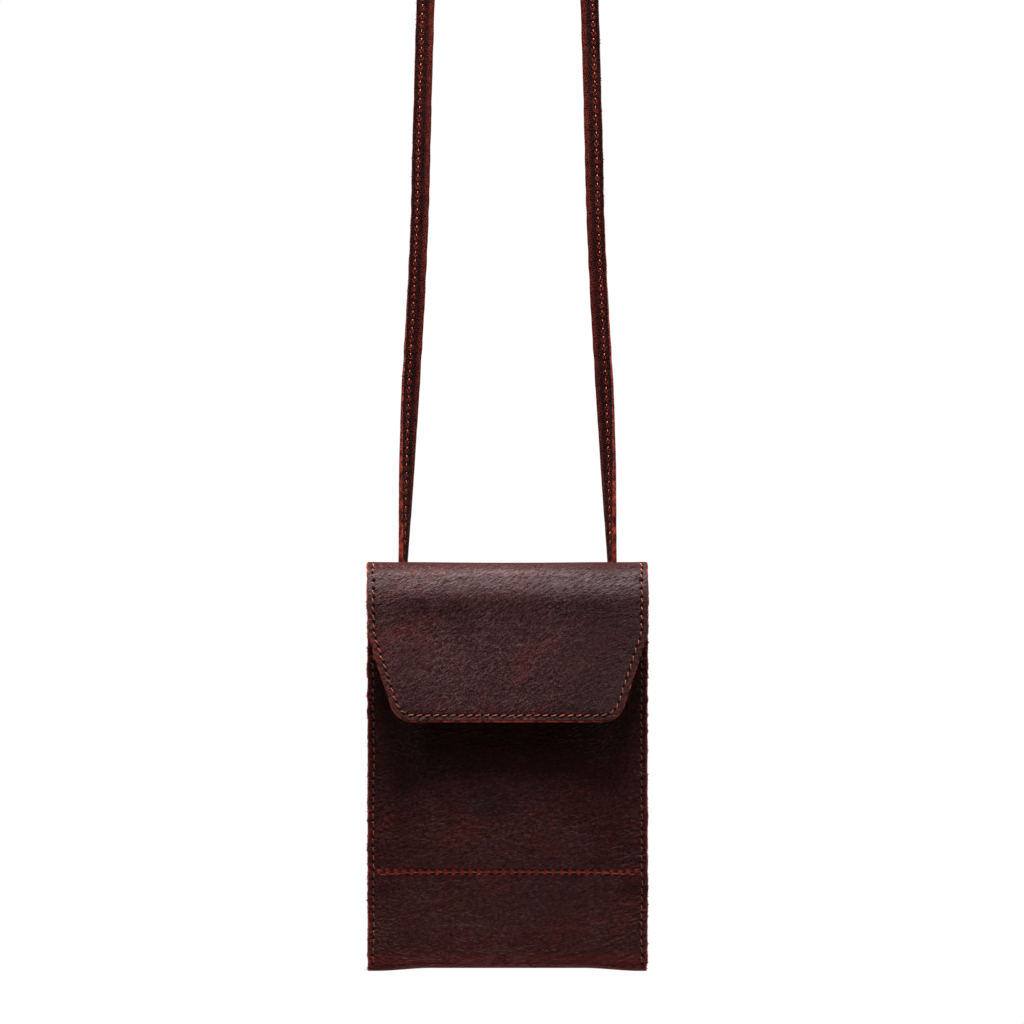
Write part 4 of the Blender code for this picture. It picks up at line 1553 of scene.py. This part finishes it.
# Each lamp's name, place, target, size and power
LAMPS = (
    ("key", (0, -0.10, 0.45), (0, -0.10, -0.70), (0.50, 0.64), 116),
    ("front", (0, -0.60, 0.45), (0, -0.60, -0.70), (0.50, 0.34), 5.5),
    ("left", (-1.7, 0.30, -0.3), POUCH_MIDDLE, (0.6, 1.2), 15),
    ("right", (1.7, 0.30, -0.3), POUCH_MIDDLE, (0.6, 1.2), 15),
    ("below", (0, -0.0175, -1.5), (0, -0.0175, -0.70), (0.50, 0.02), 6),
    ("back", (0, 1.2, 0.9), POUCH_MIDDLE, (1.4, 0.6), 30),
)


def area_light(name, place, target, size, power):
    """A soft lamp that points at target."""
    light = bpy.data.lights.new(name, "AREA")
    light.shape = "RECTANGLE"
    light.size, light.size_y = size
    light.energy = power
    lamp = bpy.data.objects.new(name, light)
    lamp.location = place
    lamp.rotation_euler = (Vector(target) - Vector(place)).to_track_quat("-Z", "Y").to_euler()
    bpy.context.scene.collection.objects.link(lamp)


def light_world():
    """A world that the camera, gloss and glass see as white, and that lights the object only faintly."""
    world = bpy.data.worlds.new("studio")
    bpy.context.scene.world = world
    world.use_nodes = True
    nodes = Nodes(world.node_tree)
    seen = nodes.node("LightPath", {}, "Is Camera Ray")
    for ray in ("Is Glossy Ray", "Is Transmission Ray"):
        seen = nodes.node("Math", {0: seen, 1: nodes.node("LightPath", {}, ray)}, operation="MAXIMUM")
    strength = nodes.node("MapRange", {"Value": seen, "To Min": WORLD_LIGHT, "To Max": 1.0})
    background = nodes.tree.nodes["Background"]
    background.inputs["Color"].default_value = (1, 1, 1, 1)
    nodes.feed(background.inputs["Strength"], strength)


for lamp in LAMPS:
    area_light(*lamp)
light_world()

floor_bm = bmesh.new()
floor_place = Matrix.Translation((0, 0, FLOOR_Z))
bmesh.ops.create_circle(floor_bm, cap_ends=True, segments=128, radius=FLOOR_RADIUS, matrix=floor_place)
floor_look = plain_look(
    "pale_floor", FLOOR_TONE, (0.42, 0.42, 0.42, 1), (0.47, 0.47, 0.47, 1), 0.8, Specular_IOR_Level=0.2,
)
floor = add_piece("floor", floor_bm, [floor_look])

camera_data = bpy.data.cameras.new("camera")
camera_data.sensor_width = SENSOR
camera_data.lens = SENSOR * (VIEW_DISTANCE - VIEW_DEPTH) / VIEW_WIDTH
camera_data.clip_start = 0.05
camera_data.clip_end = 20
camera = bpy.data.objects.new("camera", camera_data)
camera.location = (VIEW_X, -VIEW_DISTANCE, VIEW_Z)
camera.rotation_euler = (pi / 2, 0, 0)
bpy.context.scene.collection.objects.link(camera)
bpy.context.scene.camera = camera
bpy.context.scene.view_settings.view_transform = "Standard"
